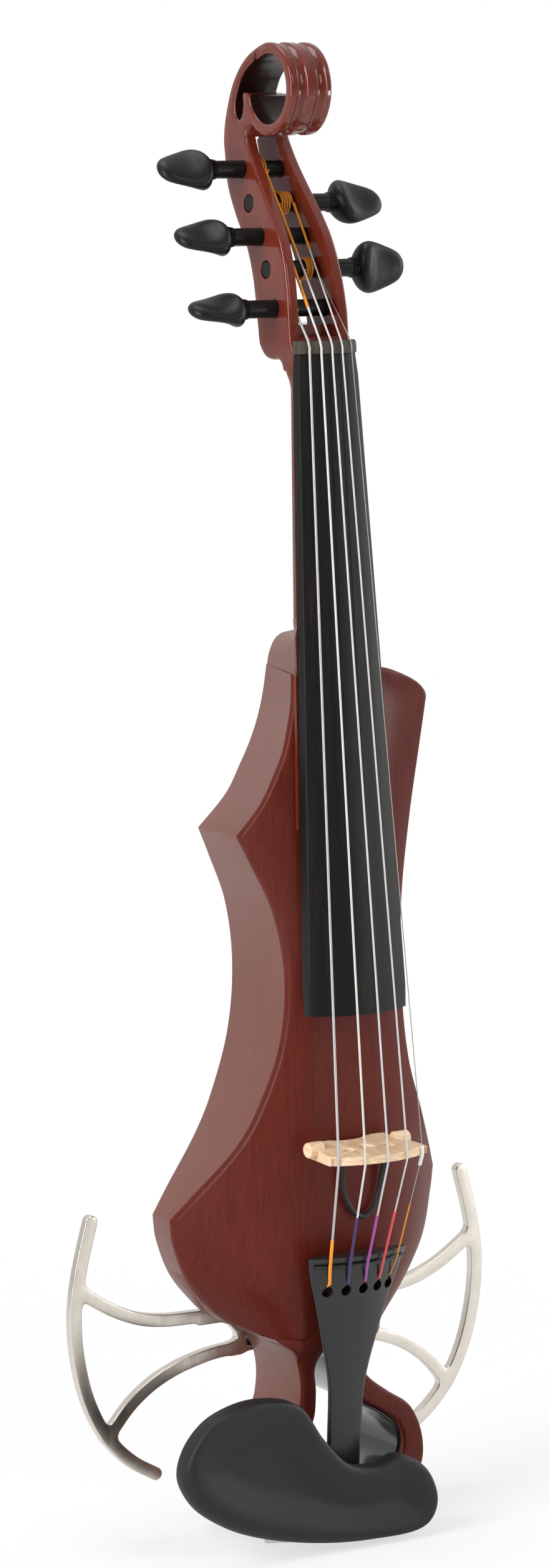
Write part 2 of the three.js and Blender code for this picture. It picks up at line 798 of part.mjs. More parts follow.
function buildBody() {
  const levels = bodyLevels();
  add("top_plate", cutFrom(loft(levels.map(plateRing)), leadBore(-BODY_DEPTH / 2)), STAINED);

  const hole = smoothOutline(loopPoints(loopInnerShares));
  const bayDepth = COVER_THICKNESS + BATTERY_DEPTH + 2 * GAP + EDGE;
  const screwCuts = [-1, 1].flatMap(frameScrews).map(({ x, z, top }) =>
    rod(SCREW_RADIUS + GAP / 2, vec(x, top - SCREW_LENGTH - GAP, z), vec(x, OVERRUN, z), 12),
  );
  const buttonEnd = -LOOP_BOTTOM + BUTTON_LENGTH / 2 + GAP;
  const core = cutFrom(
    joined(loft(levels.map(coreRing)), loopSolid()),
    frontSolid(hole, -BODY_DEPTH, OVERRUN, 0, 1),
    recess(cavity, COVER_THICKNESS + GAP, COVER_LIP),
    recess(cavity, CAVITY_DEPTH, 0),
    recess(batteryBay, COVER_THICKNESS + GAP, COVER_LIP),
    recess(batteryBay, bayDepth, 0),
    wireWay(),
    ...knobCuts(),
    socketCut(JACK_RADIUS, JACK_ACROSS, JACK_RISE),
    socketCut(PHONES_RADIUS, PHONES_ACROSS, PHONES_RISE),
    ...screwCuts,
    leadBore(-CAVITY_DEPTH + OVERRUN),
    rod(
      BUTTON_NECK_RADIUS + GAP,
      vec(0, -BUTTON_RISE, -LOOP_BOTTOM - OVERRUN),
      vec(0, -BUTTON_RISE, buttonEnd),
    ),
  );
  add("body_core", core, RIB_STAIN);

  const linerOuter = smoothOutline(shrunk(loopPoints(loopInnerShares), GAP));
  const linerInner = smoothOutline(shrunk(loopPoints(loopInnerShares), GAP + LINER_THICKNESS));
  const liner = frontSolid(linerOuter, -LOOP_DEPTH + LINER_SETBACK, -GAP, 0, 1);
  const clear = frontSolid(linerInner, -LOOP_DEPTH, OVERRUN, 0, 1);
  add("tail_loop_liner", liner.subtract(clear), BLACK);
}

// Neck, pegbox and scroll

// Head side view, as shares of HEAD_DEPTH back from the board's underside at the
// nut and of HEAD_HEIGHT above the nut line.
const pegboxFrontShares = [
  [0, 0],
  [0.02, 0.045],
  [0.04, 0.135],
  [0.07, 0.215],
  [0.12, 0.295],
  [0.195, 0.373],
  [0.31, 0.45],
  [0.445, 0.53],
  [0.575, 0.61],
  [0.66, 0.675],
  [0.69, 0.705],
];
const headBackShares = [
  [0.547, 0.992],
  [0.68, 0.964],
  [0.79, 0.925],
  [0.885, 0.87],
  [0.945, 0.81],
  [0.98, 0.755],
  [0.99, 0.69],
  [0.965, 0.635],
  [0.91, 0.54],
  [0.78, 0.44],
  [0.63, 0.345],
  [0.52, 0.23],
  [0.45, 0.09],
  [0.42, 0.015],
  [0.37, -0.015],
  [0.285, -0.024],
  [0.21, -0.022],
  [0.175, -0.035],
  [0.16, -0.06],
];
const archInnerShares = [
  [0.59, 0.948],
  [0.7, 0.918],
  [0.77, 0.887],
  [0.82, 0.847],
  [0.85, 0.81],
  [0.84, 0.773],
  [0.805, 0.753],
  [0.768, 0.762],
  [0.745, 0.797],
  [0.753, 0.842],
];
// Half width of the head, as a share of HEAD_WIDTH, at shares of HEAD_HEIGHT.
const headWidthShares = [
  [-0.2, 0.4],
  [-0.03, 0.455],
  [0.03, 0.5],
  [0.13, 0.5],
  [0.29, 0.466],
  [0.45, 0.434],
  [0.61, 0.386],
  [0.7, 0.362],
  [0.78, 0.345],
  [1.1, 0.345],
];
const POCKET_FLOOR_SHARE = 0.052;
const PEGBOX_FLOOR_SHARE = 0.09;
const PEGBOX_CEILING_SHARE = 0.698;
const RING_START_TURN_SHARE = -0.137;
const RING_END_TURN_SHARE = -0.766;
const EYE_START_TURN_SHARE = -0.025;
const EYE_END_TURN_SHARE = -0.79;

const headBase = boardBack(STRING_LENGTH);

function headPoint([back, up]) {
  return [headBase + back * HEAD_DEPTH, STRING_LENGTH + up * HEAD_HEIGHT];
}

const scrollCentre = [headBase + SCROLL_CENTRE_BACK, STRING_LENGTH + SCROLL_CENTRE_UP];

function turnPoints(radius, from, to, count) {
  return Array.from({ length: count + 1 }, (_, i) => {
    const turn = 2 * Math.PI * mix(from, to, i / count);
    return [scrollCentre[0] + radius * Math.cos(turn), scrollCentre[1] + radius * Math.sin(turn)];
  });
}

function headHalf(z) {
  const share = (z - STRING_LENGTH) / HEAD_HEIGHT;
  const next = Math.max(headWidthShares.findIndex(([up]) => up >= share), 1);
  const [low, high] = [headWidthShares[next - 1], headWidthShares[next]];
  return HEAD_WIDTH * mix(low[1], high[1], (share - low[0]) / (high[0] - low[0]));
}

function fluteSolid(across) {
  const lift = FLUTE_RADIUS - FLUTE_DEPTH;
  const back = headBackShares.slice(0, 7).map(headPoint).reverse();
  const ring = turnPoints(SCROLL_RADIUS, RING_START_TURN_SHARE, RING_END_TURN_SHARE, 22).reverse();
  const path = [...back, ...ring];
  const points = path.map(([y, z], i) => {
    const before = path[Math.max(i - 1, 0)];
    const after = path[Math.min(i + 1, path.length - 1)];
    const along = new THREE.Vector2(after[0] - before[0], after[1] - before[1]).normalize();
    return vec(across, y + along.y * lift, z - along.x * lift);
  });
  return tube(points, FLUTE_RADIUS, 8);
}

// The room between the pegbox walls, from the front back to a depth.
function slotSolid(floorShare, ceilingShare, yBack) {
  const right = [floorShare, mix(floorShare, ceilingShare, 1 / 2), ceilingShare].map((share) => {
    const z = STRING_LENGTH + share * HEAD_HEIGHT;
    return [headHalf(z) - PEGBOX_WALL, z];
  });
  const shape = outline([...right, ...right.map(([x, z]) => [-x, z]).reverse()]);
  return frontSolid(shape, -HEAD_DEPTH, yBack);
}

function headSolid() {
  const outer = outline([
    ...pegboxFrontShares.map(headPoint),
    ...turnPoints(SCROLL_RADIUS, RING_START_TURN_SHARE, RING_END_TURN_SHARE, 24),
    ...headBackShares.map(headPoint),
    [headBase + GAP, STRING_LENGTH - NUT_THICKNESS],
  ]);
  outer.holes.push(
    new THREE.Path(
      [
        ...turnPoints(SCROLL_EYE_RADIUS, EYE_START_TURN_SHARE, EYE_END_TURN_SHARE, 22),
        ...archInnerShares.map(headPoint),
      ].map(([y, z]) => new THREE.Vector2(y, z)),
    ),
  );
  const widths = headWidthShares.map(([up, half]) => {
    return [half * HEAD_WIDTH, STRING_LENGTH + up * HEAD_HEIGHT];
  });
  const frontView = outline([...widths, ...widths.map(([x, z]) => [-x, z]).reverse()]);
  const slab = sideSolid(outer, -HEAD_WIDTH, HEAD_WIDTH);
  return cutFrom(
    slab.intersect(frontSolid(frontView, -HEAD_DEPTH, HEAD_DEPTH)),
    slotSolid(PEGBOX_FLOOR_SHARE, PEGBOX_CEILING_SHARE, HEAD_DEPTH),
    slotSolid(POCKET_FLOOR_SHARE, 2 * PEGBOX_FLOOR_SHARE, headBase + POCKET_DEPTH),
    fluteSolid(-FLUTE_SPACING / 2),
    fluteSolid(FLUTE_SPACING / 2),
    ...Object.values(pegPlaces).map(({ y, z }) =>
      rod(PEG_RADIUS + GAP, vec(-HEAD_WIDTH, y, z), vec(HEAD_WIDTH, y, z), 20),
    ),
  );
}

function neckRing(z, depth) {
  const half = boardHalf(z) - NECK_INSET;
  const front = boardBack(z) + GAP;
  const curve = Array.from({ length: NECK_SIDES + 1 }, (_, i) => {
    const turn = (Math.PI * i) / NECK_SIDES;
    return vec(half * Math.cos(turn), front + EDGE + (depth - EDGE) * Math.sin(turn), z);
  });
  return [vec(-half, front, z), vec(half, front, z), ...curve];
}

function neckSolid() {
  const nutEnd = STRING_LENGTH - EDGE;
  const heelEnd = BODY_TOP + HEEL_RISE - EDGE;
  const rows = [0, 0.2, 0.5, 0.8, 1].map((share) => {
    const z = mix(nutEnd, heelEnd, share);
    return neckRing(z, mix(NECK_DEPTH_AT_NUT, NECK_DEPTH_AT_HEEL, share));
  });
  return loft(rows);
}

// Heel side view, as shares of BODY_DEPTH for Y and of HEEL_RISE above the body.
const heelShares = [
  [-0.9, 1.413],
  [-0.6, 1.47],
  [-0.49, 1.16],
  [-0.41, 1],
  [-0.33, 0.98],
  [-0.2, 0.877],
  [-0.1, 0.6],
  [-0.03, 0.2],
];

function heelSolid() {
  const foot = BODY_TOP + GAP;
  const places = heelShares.map(([y, up]) => [y * BODY_DEPTH, BODY_TOP + up * HEEL_RISE]);
  const top = places[0][1];
  const front = boardBack(top) + GAP;
  const shape = outline([
    [boardBack(foot) + GAP, foot],
    [front, top],
    ...places.slice(1),
    [places[places.length - 1][0], foot],
  ]);
  const wedge = outline([
    [-HEEL_WIDTH / 2 - EDGE, -BODY_DEPTH],
    [-HEEL_WIDTH / 2, front + BOARD_SIDE],
    [-HEEL_BUTTON_WIDTH / 2, 0],
    [HEEL_BUTTON_WIDTH / 2, 0],
    [HEEL_WIDTH / 2, front + BOARD_SIDE],
    [HEEL_WIDTH / 2 + EDGE, -BODY_DEPTH],
  ]);
  const under = levelSolid(wedge, BODY_TOP, BODY_TOP + 2 * HEEL_RISE);
  return sideSolid(shape, -HEEL_WIDTH, HEEL_WIDTH).intersect(under);
}

// The thin foot of the neck that carries the board over the body.
function neckFoot() {
  const middle = mix(BODY_TOP, NECK_FOOT_END, 1 / 2);
  const rings = [BODY_TOP + 2 * EDGE, BODY_TOP, middle, NECK_FOOT_END].map((z) => {
    const half = boardHalf(z) + EDGE / 2;
    const front = boardBack(z) + GAP;
    const back = -ridgeRise(Math.min(z, BODY_TOP)) - GAP;
    return [vec(-half, front, z), vec(half, front, z), vec(half, back, z), vec(-half, back, z)];
  });
  return loft(rings);
}

function buildNeck() {
  add("neck_and_scroll", joined(headSolid(), neckSolid(), heelSolid(), neckFoot()), STAINED);
}

const stringRiseAtNut = STRING_OVER_BOARD - boardCrown(STRING_LENGTH);
const stringRiseAtBridge = BODY_DEPTH + STRING_OVER_BODY;

function buildBoard() {
  const rings = [0, 1 / 3, boardShare(NECK_FOOT_END), 1].map((share) => {
    const z = mix(STRING_LENGTH, boardEnd, share);
    const half = boardHalf(z);
    const front = arched(half, (x) => boardCrown(z) + arcDrop(x, BOARD_RADIUS), z);
    const free = z < NECK_FOOT_END ? BOARD_SCOOP : 0;
    const back = [1, 1 / 2, 0, -1 / 2, -1].map((across) =>
      vec(half * across, boardBack(z) - free * (1 - across * across), z),
    );
    return [...front, ...back];
  });
  add("fingerboard", loft(rings), EBONY);
}

function buildNut() {
  const low = STRING_LENGTH + GAP;
  const half = BOARD_NUT_WIDTH / 2;
  const crown = stringRiseAtNut - STRING_RADII.c - GAP;
  const rows = [
    [low, 0],
    [low + NUT_THICKNESS / 2, 0],
    [low + NUT_THICKNESS, EDGE],
  ];
  const rings = rows.map(([z, fall]) => [
    ...arched(half, (x) => -crown + fall + arcDrop(x, BOARD_RADIUS), z),
    vec(half, headBase - GAP, z),
    vec(-half, headBase - GAP, z),
  ]);
  add("nut", loft(rings), NUT_EBONY);
}

// Pegs: side -1 has its head on the left. Places as shares of HEAD_DEPTH and HEAD_HEIGHT.
const pegShares = {
  c: { back: 0.225, up: 0.143, side: -1, turn: 1.2, loops: 2 },
  g: { back: 0.445, up: 0.374, side: -1, turn: 1.05, loops: 2 },
  d: { back: 0.72, up: 0.592, side: -1, turn: 0.85, loops: 2 },
  a: { back: 0.608, up: 0.481, side: 1, turn: -1.05, loops: 5 },
  e: { back: 0.353, up: 0.268, side: 1, turn: 0, loops: 4 },
};
const pegPlaces = Object.fromEntries(
  Object.entries(pegShares).map(([name, { back, up }]) => {
    const [y, z] = headPoint([back, up]);
    return [name, { y, z }];
  }),
);
// Head profile: shares of the head's length, width and thickness.
const pegHeadShares = [
  [0, 0.24, 0.5],
  [0.06, 0.62, 0.92],
  [0.16, 0.86, 1],
  [0.28, 0.97, 0.84],
  [0.42, 1, 0.66],
  [0.58, 0.98, 0.56],
  [0.74, 0.86, 0.5],
  [0.88, 0.62, 0.42],
  [0.96, 0.36, 0.28],
  [1, 0.12, 0.12],
];
// Collar profile: shares of its radius and of its length from the head's shoulder.
const collarShares = [
  [0.86, -0.8],
  [0.76, -0.6],
  [1, -0.4],
  [0.8, -0.15],
  [0.8, 0.5],
];

function pegSolid(name) {
  const { side, turn } = pegShares[name];
  const { y, z } = pegPlaces[name];
  const wall = headHalf(z);
  const shoulder = wall + PEG_SHANK;
  const profile = [
    [0, -wall],
    [PEG_TIP_RADIUS, -wall],
    [PEG_RADIUS, wall],
    [PEG_RADIUS, shoulder - PEG_COLLAR_LENGTH],
    ...collarShares.map(([wide, along]) => [
      wide * PEG_COLLAR_RADIUS,
      shoulder + along * PEG_COLLAR_LENGTH,
    ]),
    [0, shoulder + PEG_COLLAR_LENGTH / 2],
  ];
  const shaft = turned(profile, vec(side, 0, 0), vec(0, y, z), PEG_SIDES);
  const rings = pegHeadShares.map(([along, wide, thick]) => {
    const x = side * (shoulder + along * PEG_HEAD_LENGTH);
    return Array.from({ length: PEG_SIDES }, (_, i) => {
      const angle = (2 * Math.PI * i) / PEG_SIDES;
      const across = (Math.cos(angle) * wide * PEG_HEAD_WIDTH) / 2;
      const deep = (Math.sin(angle) * thick * PEG_HEAD_THICKNESS) / 2;
      return vec(
        x,
        y + across * Math.sin(turn) + deep * Math.cos(turn),
        z + across * Math.cos(turn) - deep * Math.sin(turn),
      );
    });
  });
  return shaft.add(loft(rings));
}

// The part of a string wound on its peg: one unbroken helix.
function windingPath(name) {
  const { side, loops } = pegShares[name];
  const { y, z } = pegPlaces[name];
  const wall = headHalf(z) - PEGBOX_WALL;
  const radius = PEG_RADIUS + GAP + WIND_RADIUS;
  const outside = wall - EDGE - WIND_RADIUS;
  const count = loops * WIND_STEPS;
  return Array.from({ length: count + 1 }, (_, i) => {
    const angle = Math.PI + (2 * Math.PI * i) / WIND_STEPS;
    const x = side * (outside - (i / WIND_STEPS) * WIND_PITCH);
    return vec(x, y + radius * Math.cos(angle), z - radius * Math.sin(angle));
  });
}

function buildPegs() {
  STRING_NAMES.forEach((name) => {
    add("peg_" + name, pegSolid(name), BLACK);
    add("peg_winding_" + name, tube(windingPath(name), WIND_RADIUS, WIND_SIDES), SILK);
  });
}

// Strings

const tailFootZ = -LOOP_BOTTOM + SADDLE_THICKNESS + TAIL_CLEARANCE;
const tailpieceLength = -TAILPIECE_TOP - tailFootZ;
const ridgeZ = -(TAILPIECE_TOP + RIDGE_DOWN);
const keyholeZ = -(TAILPIECE_TOP + KEYHOLE_DOWN);

function tailEdge(z) {
  const share = (-z - TAILPIECE_TOP) / tailpieceLength;
  const head = BODY_DEPTH + TAILPIECE_OVER_BODY;
  return -mix(head, LOOP_DEPTH + TAILPIECE_OVER_LOOP, Math.pow(share, TAILPIECE_FALL_POWER));
}

// Half width of the tailpiece at shares of its length: shares of the width lost.
const tailWidthShares = [
  [1, 0],
  [0.9, 0.18],
  [0.81, 0.38],
  [0.66, 0.65],
  [0.53, 0.87],
  [0.44, 0.97],
  [0.3, 1],
  [0, 1],
];

function tailHalf(z) {
  const share = 1 - (-z - TAILPIECE_TOP) / tailpieceLength;
  const [lost] = smoothRows(tailWidthShares)(share);
  return mix(TAILPIECE_WIDTH, TAILPIECE_NECK_WIDTH, lost) / 2;
}

function tailFront(x, z) {
  const half = tailHalf(z);
  const rise = arcDrop(half, TAILPIECE_ARCH_RADIUS) - arcDrop(x, TAILPIECE_ARCH_RADIUS);
  return tailEdge(z) - rise;
}

function stringPoints(name, index) {
  const radius = STRING_RADII[name];
  const tailX = stringAcross(TAIL_SPREAD, index);
  const bridgeX = stringAcross(BRIDGE_SPREAD, index);
  const nutX = stringAcross(NUT_SPREAD, index);
  const diveZ = keyholeZ + KEYHOLE_DIVE;
  const diveY = tailFront(tailX, diveZ);
  const ridgeY = tailFront(tailX, ridgeZ) - RIDGE_HEIGHT - GAP - radius;
  const bridgeY = -stringRiseAtBridge + arcDrop(bridgeX, BRIDGE_CROWN_RADIUS);
  const nutY = -stringRiseAtNut + arcDrop(nutX, BOARD_RADIUS);
  const winding = windingPath(name)[0];
  const stop = vec(winding.x, winding.y - WIND_RADIUS - radius - GAP, winding.z);
  return [
    vec(tailX, diveY + TAILPIECE_SIDE / 2, diveZ - EDGE / 2),
    vec(tailX, diveY - radius, diveZ + EDGE / 2),
    vec(tailX, ridgeY, ridgeZ),
    vec(bridgeX, bridgeY, -BRIDGE_CROWN_THICKNESS / 2),
    vec(bridgeX, bridgeY, BRIDGE_CROWN_THICKNESS / 2),
    vec(nutX, nutY, STRING_LENGTH + GAP),
    vec(nutX, nutY, STRING_LENGTH + NUT_THICKNESS / 2),
    vec(nutX, nutY + EDGE, STRING_LENGTH + NUT_THICKNESS + GAP),
    stop,
  ];
}

function buildStrings() {
  STRING_NAMES.forEach((name, index) => {
    const points = stringPoints(name, index);
    add("string_" + name, tube(points, STRING_RADII[name], STRING_SIDES), STRING_STEEL);
  });
}

// Bridge and pickups

const bridgeFoot = -BODY_DEPTH - GAP;
// Right half of the bridge outline: shares of half the crown width across and of
// the bridge's height up from the body.
const bridgeHalfShares = [
  [0.38, 0],
  [0.84, 0],
  [0.86, 0.05],
  [0.8, 0.12],
  [0.82, 0.22],
  [0.86, 0.4],
  [0.94, 0.64],
  [1, 0.82],
];
// The arch between its feet, its crown across, and the eye in its middle.
const bridgeArchShares = [
  [-0.38, 0],
  [-0.26, 0.08],
  [0, 0.11],
  [0.26, 0.08],
];
const bridgeCrownShares = [0.98, 0.84, 0.5, 0.17, -0.17, -0.5, -0.84, -0.98];
const bridgeEyeShares = [
  [0, 0.36],
  [0.12, 0.45],
  [0.15, 0.53],
  [0.08, 0.58],
  [0, 0.54],
  [-0.08, 0.58],
  [-0.15, 0.53],
  [-0.12, 0.45],
];
const BRIDGE_SIDE_EYE_SHARE = 0.42;
const BRIDGE_SIDE_EYE_UP_SHARE = 0.56;
const BRIDGE_SIDE_EYE_RADIUS_SHARE = 0.12;
const bridgeHalf = BRIDGE_CROWN_WIDTH / 2;
const bridgeHeight = bridgeFoot - bridgeTop(0);

function bridgeTop(x) {
  return -stringRiseAtBridge + STRING_RADII.c + GAP + arcDrop(x, BRIDGE_CROWN_RADIUS);
}

function bridgePoint([across, up]) {
  return [across * bridgeHalf, bridgeFoot - up * bridgeHeight];
}

function bridgeShape() {
  const right = bridgeHalfShares.map(bridgePoint);
  const crown = bridgeCrownShares.map((share) => [share * bridgeHalf, bridgeTop(share * bridgeHalf)]);
  const left = right.map(([x, y]) => [-x, y]).reverse();
  const arch = bridgeArchShares.slice(1).map(bridgePoint);
  const shape = outline([...right, ...crown, ...left, ...arch]);
  const eye = bridgeEyeShares.map(bridgePoint).map(([x, y]) => new THREE.Vector2(x, y));
  shape.holes.push(new THREE.Path(eye));
  [-1, 1].forEach((side) => {
    const [x, y] = bridgePoint([side * BRIDGE_SIDE_EYE_SHARE, BRIDGE_SIDE_EYE_UP_SHARE]);
    circleHole(shape, x, y, bridgeHalf * BRIDGE_SIDE_EYE_RADIUS_SHARE);
  });
  return shape;
}

// A pickup dowel lies across in each wing, grown by a clearance for its seat.
function pickupRod(side, grow) {
  const outer = bridgeHalf + PICKUP_OUT + grow;
  const at = (x) => vec(side * x, bridgeFoot - PICKUP_RISE, PICKUP_FORWARD);
  return rod(PICKUP_RADIUS + grow, at(outer - PICKUP_LENGTH - 2 * grow), at(outer), 20);
}

function buildBridge() {
  const slab = levelSolid(bridgeShape(), -BRIDGE_BASE_THICKNESS / 2, BRIDGE_BASE_THICKNESS / 2);
  const foot = bridgeFoot + OVERRUN;
  const crown = bridgeFoot - bridgeHeight - OVERRUN;
  const taper = outline([
    [foot, -BRIDGE_BASE_THICKNESS / 2],
    [crown, -BRIDGE_CROWN_THICKNESS / 2],
    [crown, BRIDGE_CROWN_THICKNESS / 2],
    [foot, BRIDGE_BASE_THICKNESS / 2],
  ]);
  const solid = slab.intersect(sideSolid(taper, -BODY_REACH, BODY_REACH));
  const seats = [-1, 1].map((side) => pickupRod(side, GAP));
  add("bridge", cutFrom(solid, ...seats, sleeveSolid(SLEEVE_RADIUS + GAP, OVERRUN)), MAPLE);
  add("pickup_bass", pickupRod(-1, 0), MAPLE);
  add("pickup_treble", pickupRod(1, 0), MAPLE);
}

// The pickup lead leaves the treble wing in two strands that join, hangs in a loop
// over the plate and goes down its hole behind the bridge. Shares of half the
// bridge's width across, of LEAD_RISE over the body and of LEAD_DROP down.
const leadShares = [
  [0.826, 0.92, -0.133],
  [0.817, 0.75, -0.247],
  [0.8, 0.533, -0.401],
  [0.783, 0.4, -0.602],
  [0.706, 0.333, -0.864],
  [0.511, 0.333, -1],
  [0.238, 0.333, -0.944],
  [0.051, 0.367, -0.756],
  [-0.051, 0.4, -0.509],
  [-0.064, 0.433, -0.34],
  [-0.077, 0.333, -0.241],
  [-0.077, 0, -0.179],
  [-0.077, -0.667, -0.16],
  [-0.077, -1.667, -0.16],
];
const leadBranchShares = [
  [0.953, 0.99, -0.133],
  [0.936, 0.83, -0.278],
  [0.877, 0.567, -0.463],
  [0.783, 0.4, -0.602],
];
const leadHolePlace = leadPoint(leadShares[leadShares.length - 1]);

function leadPoint([across, rise, up]) {
  return vec(across * bridgeHalf, -BODY_DEPTH - rise * LEAD_RISE, up * LEAD_DROP);
}

function leadStrand(shares, steps) {
  const curve = new THREE.CatmullRomCurve3(shares.map(leadPoint), false, "centripetal");
  return tube(curve.getSpacedPoints(steps), LEAD_RADIUS, STRING_SIDES);
}

function buildLead() {
  add("pickup_lead", leadStrand(leadShares, 32).add(leadStrand(leadBranchShares, 8)), BLACK);
}

// The sleeve follows its string over the bridge.
function sleeveSolid(radius, spare) {
  const points = stringPoints("e", STRING_NAMES.length - 1);
  const along = (from, to, length) => {
    return from.clone().addScaledVector(to.clone().sub(from).normalize(), length);
  };
  const path = [
    along(points[3], points[2], SLEEVE_LENGTH * SLEEVE_TAIL_SHARE + spare),
    points[3],
    points[4],
    along(points[4], points[5], SLEEVE_LENGTH * (1 - SLEEVE_TAIL_SHARE) + spare),
  ];
  return tube(path, radius, 10);
}

function buildSleeve() {
  const bore = sleeveSolid(STRING_RADII.e + GAP, OVERRUN);
  add("e_string_sleeve", sleeveSolid(SLEEVE_RADIUS, 0).subtract(bore), PLASTIC);
}

// Tailpiece

const tailLevelShares = [0, 0.02, 0.12, 0.19, 0.34, 0.47, 0.56, 0.7, 0.985, 1];

function tailRing(share, i) {
  const z = -TAILPIECE_TOP - share * tailpieceLength;
  const inset = i === 0 || i === tailLevelShares.length - 1 ? EDGE / 2 : 0;
  const half = tailHalf(z) - inset;
  const back = tailEdge(z) + TAILPIECE_SIDE;
  const front = arched(half, (x) => tailFront(x, z) + inset, z);
  return [...front, vec(half - EDGE, back, z), vec(-half + EDGE, back, z)];
}

function ridgeSolid() {
  const rings = [-1, 1].map((end) => {
    const z = ridgeZ + (end * RIDGE_WIDTH) / 2;
    const half = tailHalf(z) - EDGE;
    const top = arched(half, (x) => tailFront(x, z) - RIDGE_HEIGHT, z);
    return [...top, vec(half, tailEdge(z) + EDGE, z), vec(-half, tailEdge(z) + EDGE, z)];
  });
  return loft(rings);
}

function stringCuts(index) {
  const x = stringAcross(TAIL_SPREAD, index);
  const low = -stringRiseAtBridge;
  const slot = KEYHOLE_SLOT / 2;
  const top = keyholeZ + KEYHOLE_DOWN / 2;
  const notchY = tailFront(x, ridgeZ) - RIDGE_HEIGHT;
  const notch = (z) => vec(x, notchY, z);
  return [
    rod(KEYHOLE_RADIUS, vec(x, low, keyholeZ), vec(x, -LOOP_DEPTH, keyholeZ), 12),
    block(x - slot, x + slot, low, -LOOP_DEPTH, keyholeZ, top),
    rod(STRING_RADII.c + GAP, notch(ridgeZ - OVERRUN), notch(ridgeZ + OVERRUN), 6),
  ];
}

function buildTailpiece() {
  const fan = loft(tailLevelShares.map(tailRing)).add(ridgeSolid());
  const gutHoles = [-1, 1].map((side) => {
    const at = (z) => gutStart(side).setZ(z);
    return rod(GUT_RADIUS + GAP, at(tailFootZ - OVERRUN), at(tailFootZ + BUTTON_LENGTH), 10);
  });
  const cuts = STRING_NAMES.flatMap((_, index) => stringCuts(index));
  add("tailpiece", cutFrom(fan, ...cuts, ...gutHoles), BLACK);
}

const gutAcross = BUTTON_NECK_RADIUS + GUT_RADIUS + GAP;

function gutStart(side) {
  const y = tailEdge(tailFootZ) + TAILPIECE_SIDE / 2 - EDGE / 2;
  return vec(side * gutAcross, y, tailFootZ + BUTTON_LENGTH / 2);
}

function buttonProfile() {
  const flange = -LOOP_BOTTOM - BUTTON_LENGTH;
  const inner = -LOOP_BOTTOM + BUTTON_LENGTH / 2;
  return [
    [0, flange],
    [BUTTON_RADIUS - 2 * EDGE, flange],
    [BUTTON_RADIUS, flange + EDGE],
    [BUTTON_RADIUS, flange + 2 * EDGE],
    [BUTTON_NECK_RADIUS + EDGE, flange + 3 * EDGE],
    [BUTTON_NECK_RADIUS, flange + 4 * EDGE],
    [BUTTON_NECK_RADIUS, inner],
    [0, inner],
  ];
}

function buildTailEnd() {
  const top = -LOOP_DEPTH - SADDLE_HEIGHT;
  const saddle = outline([
    [-LOOP_DEPTH - GAP, -LOOP_BOTTOM + SADDLE_THICKNESS],
    [top + EDGE, -LOOP_BOTTOM + SADDLE_THICKNESS],
    [top, -LOOP_BOTTOM + SADDLE_THICKNESS - EDGE],
    [top, -LOOP_BOTTOM + EDGE],
    [top + EDGE, -LOOP_BOTTOM],
    [-LOOP_DEPTH - GAP, -LOOP_BOTTOM],
  ]);
  add("tail_saddle", sideSolid(saddle, -SADDLE_WIDTH / 2, SADDLE_WIDTH / 2, EDGE / 2), EBONY);

  add("end_button", turned(buttonProfile(), vec(0, 0, 1), vec(0, -BUTTON_RISE, 0), 20), BLACK);

  const overSaddle = top - GUT_RADIUS - GAP;
  const below = -LOOP_BOTTOM - GUT_RADIUS - 2 * GAP;
  const leg = (side) => [
    gutStart(side),
    gutStart(side).setZ(tailFootZ - EDGE),
    vec(side * gutAcross, overSaddle, -LOOP_BOTTOM + SADDLE_THICKNESS + EDGE),
    vec(side * gutAcross, overSaddle, -LOOP_BOTTOM + EDGE),
    vec(side * gutAcross, overSaddle + EDGE, below),
    vec(side * gutAcross, -LOOP_DEPTH, below - EDGE / 2),
    vec(side * gutAcross, -BUTTON_RISE - gutAcross, below - EDGE / 2),
  ];
  const arc = Array.from({ length: GUT_TURN_STEPS + 1 }, (_, i) => {
    const angle = Math.PI * (1 - i / GUT_TURN_STEPS);
    const y = -BUTTON_RISE + gutAcross * Math.sin(angle);
    return vec(gutAcross * Math.cos(angle), y, below - EDGE / 2);
  });
  const path = [...leg(-1), ...arc, ...leg(1).reverse()];
  add("tail_gut", tube(path, GUT_RADIUS, STRING_SIDES), BLACK);
}

// Chin rest

// Outline as shares of CHIN_WIDTH and CHIN_HEIGHT from the middle of the plate.
const chinShares = [
  [-0.49, 0.08],
  [-0.468, 0.25],
  [-0.39, 0.405],
  [-0.27, 0.485],
  [-0.16, 0.492],
  [-0.05, 0.435],
  [0.045, 0.2],
  [0.15, 0.01],
  [0.255, -0.03],
  [0.36, 0.01],
  [0.455, -0.1],
  [0.497, -0.31],
  [0.455, -0.45],
  [0.23, -0.49],
  [0.01, -0.455],
  [-0.2, -0.36],
  [-0.33, -0.255],
  [-0.44, -0.1],
];
const chinFront = -LOOP_DEPTH - CHIN_OVER_LOOP;
const chinBack = chinFront + CHIN_THICKNESS;
// Feet on the loop: shares of LOOP_REACH across and wide, of LOOP_BOTTOM down and high.
const chinFeetShares = {
  chin_rest_pad_left: { across: -0.862, down: 0.8875, wide: 0.19, high: 0.075 },
  chin_rest_pad_right: { across: 0.574, down: 0.9625, wide: 0.34, high: 0.05 },
};

